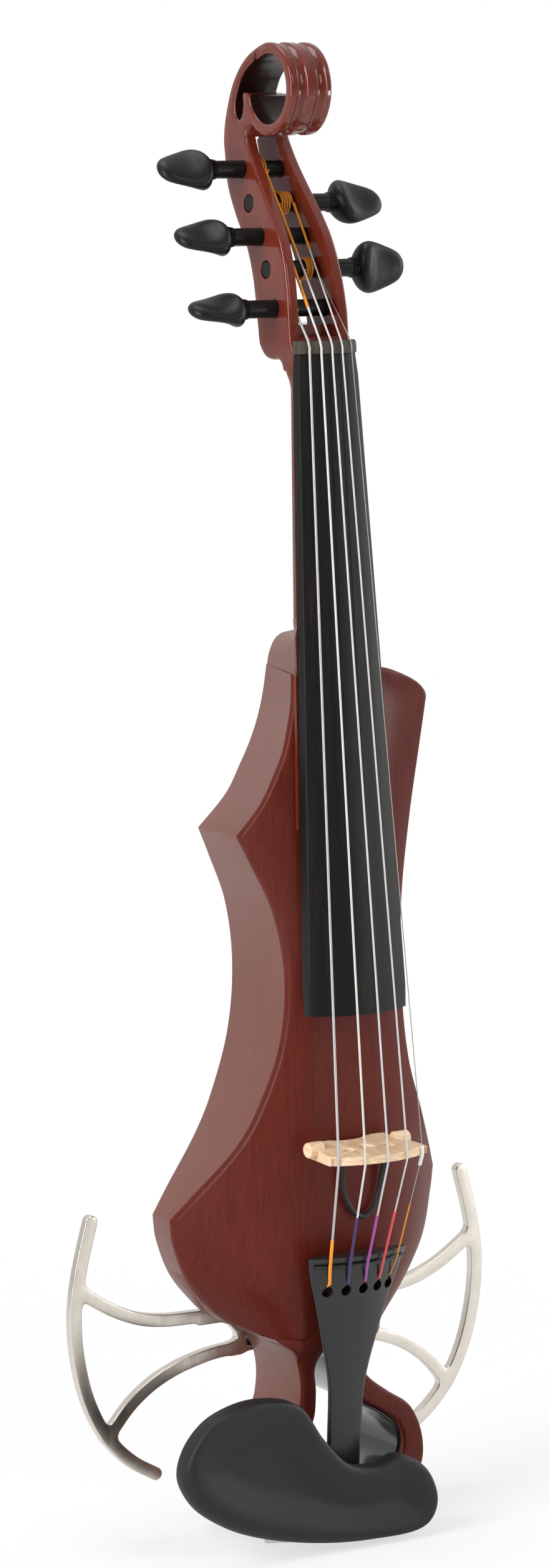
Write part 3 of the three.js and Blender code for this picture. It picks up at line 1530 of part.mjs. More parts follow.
function buildChinRest() {
  const points = chinShares.map(([across, up]) => {
    return [CHIN_MIDDLE + across * CHIN_WIDTH, -CHIN_DOWN + up * CHIN_HEIGHT];
  });
  const slab = frontSolid(smoothOutline(points), chinFront, chinBack, CHIN_EDGE, 1);
  const radius = (CHIN_WIDTH * CHIN_WIDTH) / (8 * CHIN_DISH);
  const ball = new THREE.SphereGeometry(radius, 80, 60).rotateX(Math.PI / 2);
  const dish = solidOf(ball.translate(CHIN_MIDDLE, chinFront - radius + CHIN_DISH, -CHIN_DOWN));
  const padFront = -LOOP_DEPTH - CORK_THICKNESS - GAP;
  const feet = Object.values(chinFeetShares).map((foot) => footBox(foot, chinBack - EDGE, padFront - GAP));
  add("chin_rest", joined(slab.subtract(dish), ...feet), GREY_BLACK);
  Object.entries(chinFeetShares).forEach(([name, foot]) => {
    add(name, footBox(foot, padFront, padFront + CORK_THICKNESS), CORK);
  });
  buildClamp();
}

function footBox({ across, down, wide, high }, front, back) {
  const x = across * LOOP_REACH;
  const z = -down * LOOP_BOTTOM;
  const halfWide = (wide * LOOP_REACH) / 2;
  const halfHigh = (high * LOOP_BOTTOM) / 2;
  return block(x - halfWide, x + halfWide, front, back, z - halfHigh, z + halfHigh);
}

// Clamp rods, as shares of LOOP_REACH across and LOOP_BOTTOM down.
const clampShares = [
  [-0.79, -1.004],
  [-0.4, -1.022],
];

function buildClamp() {
  const barrelFront = (BARREL_LENGTH - LOOP_DEPTH) / 2 - BARREL_LENGTH;
  const barrelBack = barrelFront + BARREL_LENGTH;
  const reach = BARREL_LENGTH / 2 - EDGE;
  const rods = loopPoints(clampShares);
  const plate = (front, upper) => {
    const shape = outline([
      [rods[0][0] - BARREL_RADIUS, rods[0][1] - BARREL_RADIUS],
      [rods[1][0] + BARREL_RADIUS, rods[1][1] - BARREL_RADIUS],
      [rods[1][0] + BARREL_RADIUS, upper],
      [rods[0][0] - BARREL_RADIUS, upper],
    ]);
    return frontSolid(shape, front, front + CLAMP_PLATE);
  };
  const plateTop = -LOOP_BOTTOM + CLAMP_GRIP;
  const rodAt = ([x, z], front, back) => rod(ROD_RADIUS, vec(x, front, z), vec(x, back, z), 10);
  const upperFront = chinBack + GAP;
  const upper = rods.map((at) => rodAt(at, upperFront + CLAMP_PLATE / 2, barrelFront + reach));
  add("clamp_upper_bracket", joined(plate(upperFront, plateTop), ...upper), STEEL);
  rods.forEach(([x, z], i) => {
    const at = (y) => vec(x, y, z);
    const barrel = pipe(BARREL_RADIUS, ROD_RADIUS + GAP, at(barrelFront), at(barrelBack), 14);
    const middle = (barrelFront + barrelBack) / 2;
    const pinHole = rod(ROD_RADIUS / 2, vec(x, middle, z - 2 * BARREL_RADIUS), at(middle), 8);
    add(i === 0 ? "clamp_barrel_left" : "clamp_barrel_right", barrel.subtract(pinHole), STEEL);
  });
  const lowerFront = 2 * GAP + CORK_THICKNESS;
  const lower = rods.map((at) => rodAt(at, barrelBack - reach, lowerFront + CLAMP_PLATE / 2));
  add("clamp_lower_bracket", joined(plate(lowerFront, plateTop), ...lower), STEEL);
  const pad = block(
    rods[0][0] + BARREL_RADIUS,
    rods[1][0],
    GAP,
    GAP + CORK_THICKNESS,
    -LOOP_BOTTOM + EDGE,
    plateTop,
  );
  add("clamp_pad", pad, CORK);
}

// Side frames

// Bars of the left frame: shares of FRAME_RADIUS from the rim's centre, [across, up].
const upperBarShares = [
  [-0.9, 0.21],
  [-0.7, 0.06],
  [-0.43, -0.015],
  [-0.14, -0.035],
  [0.06, 0],
  [0.2, 0],
];
const lowerBarShares = [
  [-0.81, -0.56],
  [-0.63, -0.42],
  [-0.43, -0.305],
  [-0.2, -0.27],
  [-0.05, -0.245],
  [0.1, -0.24],
];
const RIM_START_TURN_SHARE = 0.397;
const RIM_END_TURN_SHARE = 0.681;
// The root under the body: a web round the end of the window, then the screw plate.
const rootShares = [
  [-0.16, -0.03],
  [-0.022, -0.059],
  [0.052, -0.097],
  [0.12, -0.122],
  [0.12, 0.03],
  [0.27, 0.03],
  [0.27, -0.27],
  [0.05, -0.262],
  [0.05, -0.22],
  [0.075, -0.207],
  [0.086, -0.183],
  [0.075, -0.145],
  [0.035, -0.1],
  [-0.022, -0.078],
  [-0.16, -0.07],
];

function frameCentre(side) {
  return [side * FRAME_CENTRE_ACROSS, -FRAME_CENTRE_DOWN];
}

function framePoint(side, [across, up]) {
  const [x, z] = frameCentre(side);
  return [x - side * across * FRAME_RADIUS, z + up * FRAME_RADIUS];
}

// A flat bar of even width along a smooth line, ends square.
function barShape(points, width) {
  const curve = new THREE.SplineCurve(points.map(([u, v]) => new THREE.Vector2(u, v)));
  const count = points.length * 2;
  const sides = [-1, 1].map((side) =>
    Array.from({ length: count + 1 }, (_, i) => {
      const at = curve.getPoint(i / count);
      const along = curve.getTangent(i / count);
      return [at.x - (side * along.y * width) / 2, at.y + (side * along.x * width) / 2];
    }),
  );
  return outline([...sides[0], ...sides[1].reverse()]);
}

function rimShape(side) {
  const [x, z] = frameCentre(side);
  const arc = (radius) =>
    Array.from({ length: RIM_STEPS + 1 }, (_, i) => {
      const turn = 2 * Math.PI * mix(RIM_START_TURN_SHARE, RIM_END_TURN_SHARE, i / RIM_STEPS);
      return [x - side * radius * Math.cos(turn), z + radius * Math.sin(turn)];
    });
  return outline([...arc(FRAME_RADIUS), ...arc(FRAME_RADIUS - FRAME_RIM).reverse()]);
}

const frameScrewShares = [
  [0.19, -0.035],
  [0.19, -0.2],
];

function frameScrews(side) {
  return frameScrewShares.map((share) => {
    const [x, z] = framePoint(side, share);
    return { x, z, top: GAP + FRAME_THICKNESS };
  });
}

function buildFrames() {
  const front = GAP;
  const back = GAP + FRAME_THICKNESS;
  const flat = (shape) => frontSolid(shape, front, back, 0, 1);
  [-1, 1].forEach((side) => {
    const word = side < 0 ? "left" : "right";
    const points = (shares) => shares.map((share) => framePoint(side, share));
    const bars = [upperBarShares, lowerBarShares].map((shares) => flat(barShape(points(shares), FRAME_BAR)));
    // What the bars reach past the rim is cut off along it.
    const rimDisc = rod(FRAME_RADIUS, frameCentreAt(side, -OVERRUN), frameCentreAt(side, back + OVERRUN), 96);
    const inner = joined(...bars, flat(outline(points(rootShares)))).intersect(rimDisc);
    const holes = frameScrews(side).flatMap(({ x, z }) => [
      rod(SCREW_RADIUS + GAP, vec(x, -OVERRUN, z), vec(x, back + OVERRUN, z), 12),
      rod(
        SCREW_HEAD_RADIUS + GAP,
        vec(x, back - SCREW_HEAD_HEIGHT - GAP, z),
        vec(x, back + OVERRUN, z),
        16,
      ),
    ]);
    add("side_frame_" + word, cutFrom(flat(rimShape(side)).add(inner), ...holes), ALUMINIUM);
    frameScrews(side).forEach((place, i) => {
      add("frame_screw_" + word + "_" + (i + 1), screwSolid(place), STEEL);
    });
  });
}

function frameCentreAt(side, y) {
  const [x, z] = frameCentre(side);
  return vec(x, y, z);
}

function screwSolid({ x, z, top }) {
  const at = (down) => vec(x, top - down, z);
  const head = rod(SCREW_HEAD_RADIUS, at(SCREW_HEAD_HEIGHT), at(0), 16);
  const shank = rod(SCREW_RADIUS, at(SCREW_LENGTH), at(SCREW_HEAD_HEIGHT / 2), 12);
  return head.add(shank).subtract(rod(SCREW_KEY_RADIUS, at(SCREW_HEAD_HEIGHT / 2), at(-OVERRUN), 6));
}

// Electronics

function coverPlate(box) {
  const reach = COVER_LIP - GAP;
  return block(
    box.left - reach,
    box.right + reach,
    -COVER_THICKNESS,
    0,
    box.low - reach,
    box.high + reach,
  );
}

function preampSolid() {
  const floor = -CAVITY_DEPTH + GAP;
  const level = (layers) => floor + BOARD_THICKNESS * layers;
  const low = cavity.low + OVERRUN;
  const high = cavity.high - OVERRUN;
  const board = block(cavity.left + OVERRUN, cavity.right - OVERRUN, level(2), level(3), low, high);
  const posts = [cavity.left + 2 * OVERRUN, cavity.right - 2 * OVERRUN].flatMap((x) =>
    [low + OVERRUN, high - OVERRUN].map((z) =>
      rod(SCREW_RADIUS, vec(x, floor, z), vec(x, level(5 / 2), z), 8),
    ),
  );
  const chips = [1 / 4, 1 / 2, 3 / 4].map((share) => {
    const z = mix(cavity.low, cavity.high, share);
    const reach = PHONES_RADIUS;
    const left = CAVITY_MIDDLE - reach;
    return block(left, left + 2 * reach, level(5 / 2), level(9 / 2), z - reach, z + reach);
  });
  return joined(board, ...posts, ...chips);
}

function batterySolid() {
  const back = -COVER_THICKNESS - 2 * GAP;
  const left = BATTERY_MIDDLE - BATTERY_WIDTH / 2;
  const low = batteryBay.low + 2 * GAP;
  const top = low + BATTERY_LENGTH - BATTERY_STUD_HEIGHT;
  const cell = block(left, left + BATTERY_WIDTH, back - BATTERY_DEPTH, back, low, top);
  const studs = [-1, 1].map((side) => {
    const at = (z) => vec(BATTERY_MIDDLE + (side * BATTERY_WIDTH) / 4, back - BATTERY_DEPTH / 2, z);
    return rod(BATTERY_STUD_RADIUS, at(top - GAP), at(top + BATTERY_STUD_HEIGHT), 12);
  });
  return joined(cell, ...studs);
}

function doorSolid() {
  const reach = BATTERY_WIDTH / 4;
  const low = batteryBay.high - COVER_LIP / 2;
  const left = BATTERY_MIDDLE - reach;
  const grip = block(left, left + 2 * reach, -COVER_THICKNESS / 2, OVERRUN, low, low + 2 * COVER_LIP);
  return coverPlate(batteryBay).subtract(grip);
}

function knobSolid(z) {
  const low = knobFloor + EDGE;
  const top = knobFloor + KNOB_HEIGHT;
  const bore = POT_SHAFT_RADIUS + GAP;
  const profile = [
    [0, low + KNOB_HEIGHT / 2],
    [bore, low + KNOB_HEIGHT / 2],
    [bore, low],
    [KNOB_RADIUS, low],
    [KNOB_RADIUS - EDGE / 3, top],
    [KNOB_RADIUS - EDGE, top + EDGE / 2],
    [0, top + EDGE / 2],
  ];
  const half = EDGE / 3;
  const markLow = z + KNOB_RADIUS / 3;
  const markHigh = z + 2 * KNOB_RADIUS;
  const mark = block(KNOB_ACROSS - half, KNOB_ACROSS + half, top, OVERRUN, markLow, markHigh);
  return turned(profile, vec(0, 1, 0), vec(KNOB_ACROSS, 0, z), 24).subtract(mark);
}

function controlSolid(z) {
  const at = (y) => vec(KNOB_ACROSS, y, z);
  const shaftTop = knobFloor + EDGE + KNOB_HEIGHT / 2 - GAP;
  return joined(
    rod(POT_RADIUS, at(knobFloor - POT_DEPTH), at(knobFloor), 18),
    rod(POT_SHAFT_RADIUS, at(knobFloor - EDGE), at(shaftTop), 12),
  );
}

function socketSolid(radius, bore, across, rise, length) {
  const at = (z) => socketPoint(across, rise, z);
  const top = -BODY_BOTTOM + length;
  return joined(
    pipe(radius, bore, at(-BODY_BOTTOM), at(top - EDGE), 20),
    rod(radius, at(top - 2 * EDGE), at(top), 20),
  );
}

function buildElectronics() {
  add("cavity_cover", coverPlate(cavity), BLACK);
  add("preamp_board", preampSolid(), BOARD_GREEN);
  add("battery", batterySolid(), GREY_BLACK);
  add("battery_door", doorSolid(), BLACK);
  Object.entries(knobDowns).forEach(([name, down]) => {
    add(name, knobSolid(-down), BLACK);
    add(name.replace("knob", "control"), controlSolid(-down), STEEL);
  });
  const output = socketSolid(JACK_RADIUS, JACK_BORE_RADIUS, JACK_ACROSS, JACK_RISE, JACK_LENGTH);
  add("output_jack", output, STEEL);
  const phonesLength = JACK_LENGTH - EDGE;
  const phones = socketSolid(PHONES_RADIUS, PHONES_BORE_RADIUS, PHONES_ACROSS, PHONES_RISE, phonesLength);
  add("headphone_jack", phones, STEEL);
}

buildBody();
buildNeck();
buildBoard();
buildNut();
buildPegs();
buildStrings();
buildBridge();
buildLead();
buildSleeve();
buildTailpiece();
buildTailEnd();
buildChinRest();
buildFrames();
buildElectronics();

export default violin;
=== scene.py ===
import math

import bmesh
import bpy
import numpy as np
from mathutils import Matrix, Vector, geometry


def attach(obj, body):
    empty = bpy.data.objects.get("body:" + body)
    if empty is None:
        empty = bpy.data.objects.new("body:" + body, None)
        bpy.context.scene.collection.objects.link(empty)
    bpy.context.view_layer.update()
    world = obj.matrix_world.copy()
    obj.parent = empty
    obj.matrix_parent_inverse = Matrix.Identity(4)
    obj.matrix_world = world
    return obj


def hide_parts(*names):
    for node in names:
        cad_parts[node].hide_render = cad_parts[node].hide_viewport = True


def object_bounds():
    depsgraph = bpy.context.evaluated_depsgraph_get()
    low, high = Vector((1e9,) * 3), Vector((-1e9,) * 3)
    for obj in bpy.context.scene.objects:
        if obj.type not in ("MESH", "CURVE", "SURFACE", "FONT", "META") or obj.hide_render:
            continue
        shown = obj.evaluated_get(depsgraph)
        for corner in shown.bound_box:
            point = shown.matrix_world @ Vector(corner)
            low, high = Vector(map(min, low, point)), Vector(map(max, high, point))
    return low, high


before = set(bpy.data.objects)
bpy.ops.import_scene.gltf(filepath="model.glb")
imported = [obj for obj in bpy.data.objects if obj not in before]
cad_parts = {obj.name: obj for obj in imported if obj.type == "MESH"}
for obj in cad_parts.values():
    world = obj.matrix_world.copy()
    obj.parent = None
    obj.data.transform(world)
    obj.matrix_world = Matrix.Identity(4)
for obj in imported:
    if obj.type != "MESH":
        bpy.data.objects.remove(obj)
cad_low, cad_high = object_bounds()

# Lengths are in millimetres. GAP is the usual clearance, EDGE the usual rounding and SEAM
# a hairline between glued pieces.
MM = 0.001
GAP = 0.3
EDGE = 1.2
SEAM = 0.04

# Camera of the photograph
CAMERA_PLACE = (-1.08273, -1.74246, 0.42898)
CAMERA_RIGHT = (0.84722682, -0.53120517, -0.00527066)
CAMERA_UP = (0.07075811, 0.10300883, 0.99216051)
CAMERA_BACK = (-0.52649786, -0.84095794, 0.12485892)
CAMERA_LENS = 113.083
CAMERA_SENSOR = 36
CAMERA_SHIFT_ACROSS = -0.01323
CAMERA_SHIFT_UP = -0.03788
CAMERA_FAR = 100

# Strings
STRING_LENGTH = 328
STRING_NAMES = ["c", "g", "d", "a", "e"]
STRING_RADII = {"c": 0.55, "g": 0.48, "d": 0.44, "a": 0.4, "e": 0.2}
NUT_SPREAD = 20.4
BRIDGE_SPREAD = 41
TAIL_SPREAD = 33
STRING_OVER_BOARD = 1.1
STRING_OVER_BODY = 33

# Body
BODY_DEPTH = 50
BODY_TOP = 197
BODY_BOTTOM = 83
BODY_REACH = 64
PLATE_THICKNESS = 3
ARCH_FLAT = 14
ARCH_POWER = 1.9
BODY_LEVELS = 150
SIDE_SOFTENING = 9
EDGE_POWER = 6
FRONT_STEPS = 46
CORNER = 1.7

# Tail loop
LOOP_DEPTH = 37.5
LOOP_BOTTOM = 160
LOOP_REACH = 47
LOOP_EDGE = 1.5
LINER_THICKNESS = 1.2
LINER_SETBACK = 3.2

# Neck and fingerboard
BOARD_LENGTH = 0.823 * STRING_LENGTH
BOARD_NUT_WIDTH = 28.4
BOARD_END_WIDTH = 48
BOARD_RADIUS = 41.5
BOARD_DEPTH_AT_NUT = 7
BOARD_DEPTH_AT_END = 12.6
BOARD_SCOOP = 2.4
BOARD_SLOPE = 0.0785
NECK_FOOT_END = 134
NECK_FOOT_THICKNESS = 2.5
NECK_DEPTH_AT_NUT = 10.2
NECK_DEPTH_AT_HEEL = 14
NECK_INSET = 1
HEEL_WIDTH = 38.4
HEEL_BUTTON_WIDTH = 12.8
NUT_THICKNESS = 5.2

# Pegbox and scroll
HEAD_HEIGHT = 126
HEAD_DEPTH = 60
HEAD_WIDTH = 29
HEAD_EDGE = 1.1
PEGBOX_WALL = 4.5
POCKET_DEPTH = 9
SCROLL_RADIUS = 19
SCROLL_EYE_RADIUS = 14.3
SCROLL_CENTRE_UP = 107.5
SCROLL_CENTRE_BACK = 25.5
FLUTE_RADIUS = 3.4
FLUTE_DEPTH = 1.5
FLUTE_SPACING = 9.2

# Pegs
PEG_RADIUS = 3.7
PEG_TIP_RADIUS = 3.4
PEG_SHANK = 16
PEG_HEAD_LENGTH = 24
PEG_HEAD_WIDTH = 21.5
PEG_HEAD_THICKNESS = 13
PEG_COLLAR_RADIUS = 4.5
PEG_COLLAR_LENGTH = 2.6
WIND_PITCH = 1.2
WIND_INSET = {"c": 0, "g": 1.5, "d": 1.5, "a": 0, "e": 0}
WIND_RADIUS = 0.42
WIND_STEPS = 48

# Bridge, pickups and lead
BRIDGE_CROWN_WIDTH = 47
BRIDGE_BASE_THICKNESS = 6.4
BRIDGE_CROWN_THICKNESS = 3.2
BRIDGE_CROWN_RADIUS = 39.7
PICKUP_RADIUS = 3.1
PICKUP_LENGTH = 7.5
PICKUP_OUT = 1.4
PICKUP_RISE = 9.7
PICKUP_FORWARD = 2.2
LEAD_RADIUS = 1.05
LEAD_HOLE_RADIUS = 2.3
LEAD_RISE = 6
LEAD_DROP = 32.4
SLEEVE_LENGTH = 5.4
SLEEVE_RADIUS = 0.8

# Tailpiece, saddle, gut and end button
TAILPIECE_TOP = 43.5
TAIL_CLEARANCE = 2.5
TAILPIECE_WIDTH = 48
TAILPIECE_NECK_WIDTH = 16.4
TAILPIECE_OVER_BODY = 11
TAILPIECE_OVER_LOOP = 10
TAILPIECE_FALL_POWER = 0.6
TAILPIECE_ARCH_RADIUS = 48
TAILPIECE_SIDE = 3.6
KEYHOLE_RADIUS = 2.2
KEYHOLE_SLOT = 1.5
KEYHOLE_DOWN = 15.5
KEYHOLE_DIVE = 3.2
KEYHOLE_SHIFTS = {"c": 2.2, "g": 2, "d": 2, "a": 1.2, "e": -0.6}
RIDGE_DOWN = 3.8
RIDGE_HEIGHT = 1.3
RIDGE_WIDTH = 1.6
GUT_RADIUS = 1
BUTTON_RADIUS = 6.5
BUTTON_NECK_RADIUS = 3.6
BUTTON_LENGTH = 10
BUTTON_RISE = 18
SADDLE_WIDTH = 30
SADDLE_HEIGHT = 5
SADDLE_THICKNESS = 6

# Chin rest
CHIN_WIDTH = 125
CHIN_HEIGHT = 68
CHIN_MIDDLE = -23.5
CHIN_DOWN = 134
CHIN_OVER_LOOP = 25.5
CHIN_THICKNESS = 11
CHIN_DISH = 3.6
CORK_THICKNESS = 2

# Side frames
FRAME_THICKNESS = 4
FRAME_BAR = 5.4
FRAME_RIM = 5.6
FRAME_RADIUS = 75.5
FRAME_CENTRE_ACROSS = 28.5
FRAME_CENTRE_DOWN = 76
FRAME_FILLET = 3.5
FRAME_EDGE = 0.5
SCREW_HEAD_RADIUS = 3.6

# Recesses in the back
COVER_THICKNESS = 2
COVER_LIP = 3
CAVITY_DEPTH = 24
BATTERY_DEPTH = 17.5
KNOB_RADIUS = 7.2
KNOB_HEIGHT = 7
POT_RADIUS = 6.4
POT_DEPTH = 8
JACK_RADIUS = 5.6
JACK_LENGTH = 18
PHONES_RADIUS = 4


# Numbers and lines


def mix(start, end, share):
    return start + (end - start) * share


def spread(start, end, steps):
    return [mix(start, end, i / steps) for i in range(steps + 1)]


def clamp(value):
    return min(max(value, 0.0), 1.0)


def ease(share):
    share = clamp(share)
    return share * share * (3 - 2 * share)


def hermite(start, end, slope_start, slope_end, t):
    t2, t3 = t * t, t * t * t
    return (
        start * (2 * t3 - 3 * t2 + 1)
        + slope_start * (t3 - 2 * t2 + t)
        + end * (3 * t2 - 2 * t3)
        + slope_end * (t3 - t2)
    )


def smooth_rows(rows):
    """Smooth values between rows (place, value, value ...) with the places falling."""

    def slope(i, column):
        low, high = rows[max(i - 1, 0)], rows[min(i + 1, len(rows) - 1)]
        return (high[column] - low[column]) / (high[0] - low[0])

    def at(place):
        i = next((n for n, row in enumerate(rows) if n > 0 and place >= row[0]), 0) - 1
        if i < 0:
            i = 0 if place > rows[0][0] else len(rows) - 2
        start, end = rows[i], rows[i + 1]
        span = end[0] - start[0]
        t = clamp((place - start[0]) / span)
        return [
            hermite(start[c], end[c], slope(i, c) * span, slope(i + 1, c) * span, t)
            for c in range(1, len(start))
        ]

    return at


def smooth_line(points, steps, closed=False):
    """Points on a smooth curve through the given ones."""
    places = [Vector(p) for p in points]
    count = len(places)
    line = []
    for i in range(count if closed else count - 1):
        p1, p2 = places[i], places[(i + 1) % count]
        p0 = places[i - 1] if closed or i > 0 else p1 * 2 - p2
        p3 = places[(i + 2) % count] if closed or i + 2 < count else p2 * 2 - p1
        d0, d1, d2 = [math.sqrt((b - a).length) for a, b in ((p0, p1), (p1, p2), (p2, p3))]
        start = ((p1 - p0) / d0 - (p2 - p0) / (d0 + d1) + (p2 - p1) / d1) * d1
        end = ((p2 - p1) / d1 - (p3 - p1) / (d1 + d2) + (p3 - p2) / d2) * d1
        line += [hermite(p1, p2, start, end, step / steps) for step in range(steps)]
    return line if closed else line + [places[-1]]


def smooth_flat(points, steps=5, closed=False):
    return [(p.x, p.y) for p in smooth_line([(u, w, 0) for u, w in points], steps, closed)]


def area(loop):
    return sum(a[0] * b[1] - b[0] * a[1] for a, b in zip(loop, loop[1:] + loop[:1])) / 2


def inward(loop):
    """For each point of the loop, a step of length 1 to the loop's inside."""
    turning = 1 if area(loop) > 0 else -1
    steps = []
    for before, after in zip(loop[-1:] + loop[:-1], loop[1:] + loop[:1]):
        du, dw = after[0] - before[0], after[1] - before[1]
        length = math.hypot(du, dw) or 1
        steps.append((-dw / length * turning, du / length * turning))
    return steps


def shifted(loop, amount):
    """The loop drawn in by an amount."""
    return [(u + a * amount, w + b * amount) for (u, w), (a, b) in zip(loop, inward(loop))]


def contours(values, low, step):
    """Closed lines on which a grid of values crosses zero, negative inside."""
    following, places = {}, {}
    for i in range(values.shape[0] - 1):
        for j in range(values.shape[1] - 1):
            corners = [(i, j), (i + 1, j), (i + 1, j + 1), (i, j + 1)]
            signs = [values[c] < 0 for c in corners]
            if all(signs) or not any(signs):
                continue
            leaving, entering = [], []
            for n in range(4):
                a, b = corners[n], corners[(n + 1) % 4]
                if signs[n] == signs[(n + 1) % 4]:
                    continue
                key = (min(a, b), max(a, b))
                t = values[a] / (values[a] - values[b])
                places[key] = tuple(low[k] + step * mix(a[k], b[k], t) for k in (0, 1))
                (leaving if signs[n] else entering).append((n, key))
            for n, key in leaving:
                following[key] = min(entering, key=lambda one: (one[0] - n) % 4)[1]
    loops = []
    while following:
        key = next(iter(following))
        loop = []
        while key in following:
            loop.append(places[key])
            key = following.pop(key)
        loops.append(loop)
    return sorted(loops, key=lambda loop: -abs(area(loop)))


# Shapes: pairs of vertices and faces


def loft(rings, wrapped=False):
    count = len(rings[0])
    vertices = [Vector(p) for ring in rings for p in ring]
    spans = len(rings) if wrapped else len(rings) - 1
    faces = []
    for ring in range(spans):
        a, b = ring * count, (ring + 1) % len(rings) * count
        faces += [(a + s, a + (s + 1) % count, b + (s + 1) % count, b + s) for s in range(count)]
    if not wrapped:
        last = (len(rings) - 1) * count
        faces += [tuple(reversed(range(count))), tuple(range(last, last + count))]
    return vertices, faces


def merged(*shapes):
    vertices, faces = [], []
    for points, sides in shapes:
        faces += [tuple(len(vertices) + i for i in face) for face in sides]
        vertices += points
    return vertices, faces


def full_turn(sides):
    return [2 * math.pi * step / sides for step in range(sides)]


def round_ring(centre, side, third, radius, sides):
    turns = full_turn(sides)
    return [centre + (side * math.cos(t) + third * math.sin(t)) * radius for t in turns]


def tube(points, radius, sides):
    """A round tube; the radius is a number or one number for each point."""
    points = [Vector(p) for p in points]
    radii = radius if isinstance(radius, list) else [radius] * len(points)
    side = (points[1] - points[0]).normalized().orthogonal()
    rings = []
    for i, point in enumerate(points):
        along = (points[min(i + 1, len(points) - 1)] - points[max(i - 1, 0)]).normalized()
        side = (side - along * side.dot(along)).normalized()
        rings.append(round_ring(point, side, along.cross(side), radii[i], sides))
    return loft(rings)


def turned(profile, axis, place, sides=40):
    """A solid of revolution; the profile holds (radius, distance along the axis)."""
    axis, place = Vector(axis).normalized(), Vector(place)
    side = axis.orthogonal().normalized()
    third = axis.cross(side)
    return loft(
        [
            round_ring(place + axis * along, side, third, max(radius, GAP / 100), sides)
            for radius, along in profile
        ]
    )


def rod(radius, start, end, sides=40, edge=0.0):
    """A round rod, with cut edges where an edge is given."""
    along = Vector(end) - Vector(start)
    near, far = edge, along.length - edge
    profile = [(radius - edge, 0), (radius, near), (radius, far), (radius - edge, along.length)]
    return turned(profile if edge else profile[::3], along, start, sides)


def block(x0, x1, y0, y1, z0, z1):
    ring = [(x0, y0), (x1, y0), (x1, y1), (x0, y1)]
    return loft([[(x, y, z) for x, y in ring] for z in (z0, z1)])


def seen_front(u, w, depth):
    return Vector((u, depth, w))


def seen_side(u, w, depth):
    return Vector((depth, u, w))


def seen_along(u, w, depth):
    return Vector((u, w, depth))


def prism(loop, start, end):
    """An outline seen from the front, between two depths."""
    return loft([[seen_front(u, w, depth) for u, w in loop] for depth in (start, end)])


def inside(points, loops):
    """Whether each point lies in the first loop and in none of the others."""
    within = np.zeros(len(points), bool)
    u, w = points[:, 0], points[:, 1]
    for loop in loops:
        for (ua, wa), (ub, wb) in zip(loop, loop[1:] + loop[:1]):
            if wa != wb:
                crosses = (wa > w) != (wb > w)
                within ^= crosses & (u < (ub - ua) * (w - wa) / (wb - wa) + ua)
    return within


def edge_distance(points, loops, closed=True):
    """Each point's distance from the nearest line, closed or with square ends."""
    nearest = np.full(len(points), np.inf)
    for loop in loops:
        for start, end in zip(loop, loop[1:] + loop[:1] if closed else loop[1:]):
            start, end = np.array(start), np.array(end)
            span = end - start
            share = np.clip((points - start) @ span / max(span @ span, TINY), 0, 1)
            nearest = np.minimum(nearest, np.hypot(*(points - start - share[:, None] * span).T))
    return nearest


TINY = 1e-12
ROUND_SHARES = (0.08, 0.29, 0.62, 1)
NEAR_EDGE = 0.97
GRID_ROOM = 0.5
WELD = 1e-4


def sheet(loops, front, back, edge, spacing, place, back_edge=None):
    """A closed solid between two surfaces over outlines, the first one the outer.
    front and back give the depth at (u, w, distance from the edge); edge is the radius
    of the rounding, a number or a function of (u, w)."""
    edge_at = edge if callable(edge) else lambda u, w: edge
    points = [p for loop in loops for p in loop]
    borders, near = [], []
    for n, loop in enumerate(loops):
        base = len(borders)
        borders += [(base + i, base + (i + 1) % len(loop)) for i in range(len(loop))]
        way, steps = 1 if n == 0 else -1, inward(loop)
        for share in ROUND_SHARES:
            for (u, w), (a, b) in zip(loop, steps):
                amount = edge_at(u, w) * share * way
                near.append((u + a * amount, w + b * amount, abs(amount)))
    near = np.array(near)
    room = near[:, 2] * NEAR_EDGE
    kept = near[inside(near[:, :2], loops) & (edge_distance(near[:, :2], loops) > room)][:, :2]
    outer = np.array(loops[0])
    spans = [np.arange(low, high, spacing) for low, high in zip(outer.min(0), outer.max(0))]
    grid = np.stack(np.meshgrid(*spans), -1).reshape(-1, 2)
    room = np.array([edge_at(u, w) for u, w in grid]) + spacing * GRID_ROOM
    grid = grid[inside(grid, loops) & (edge_distance(grid, loops) > room)]
    spots = [Vector(p) for p in [*points, *kept, *grid]]
    found = geometry.delaunay_2d_cdt(spots, borders, [], 0, WELD)
    flat_points, triangles = np.array([tuple(p) for p in found[0]]), found[2]
    centres = np.array([flat_points[list(t)].mean(0) for t in triangles])
    triangles = [tuple(t) for t, good in zip(triangles, inside(centres, loops)) if good]
    fronts, backs = [], []
    for (u, w), distance in zip(flat_points, edge_distance(flat_points, loops)):
        radii = (edge_at(u, w), back_edge or edge_at(u, w))
        shorts = [max(radius - distance, 0) for radius in radii]
        lost = [r - math.sqrt(max(r * r - short * short, 0)) for r, short in zip(radii, shorts)]
        fronts.append(place(u, w, front(u, w, distance) + lost[0]))
        backs.append(place(u, w, back(u, w, distance) - lost[1]))
    count = len(flat_points)
    sides = {pair: True for t in triangles for pair in zip(t, t[1:] + t[:1])}
    faces = triangles + [tuple(count + i for i in reversed(t)) for t in triangles]
    faces += [(b, a, count + a, count + b) for a, b in sides if (b, a) not in sides]
    return fronts + backs, faces


# Pieces

DOUBLES = GAP * MM / 1000
# The part of a face's normal from which it counts as facing a way, or leaning to it.
FACING, LEANING = 0.5, 0.3


def linked(name, data):
    obj = bpy.data.objects.new(name, data)
    bpy.context.scene.collection.objects.link(obj)
    return obj


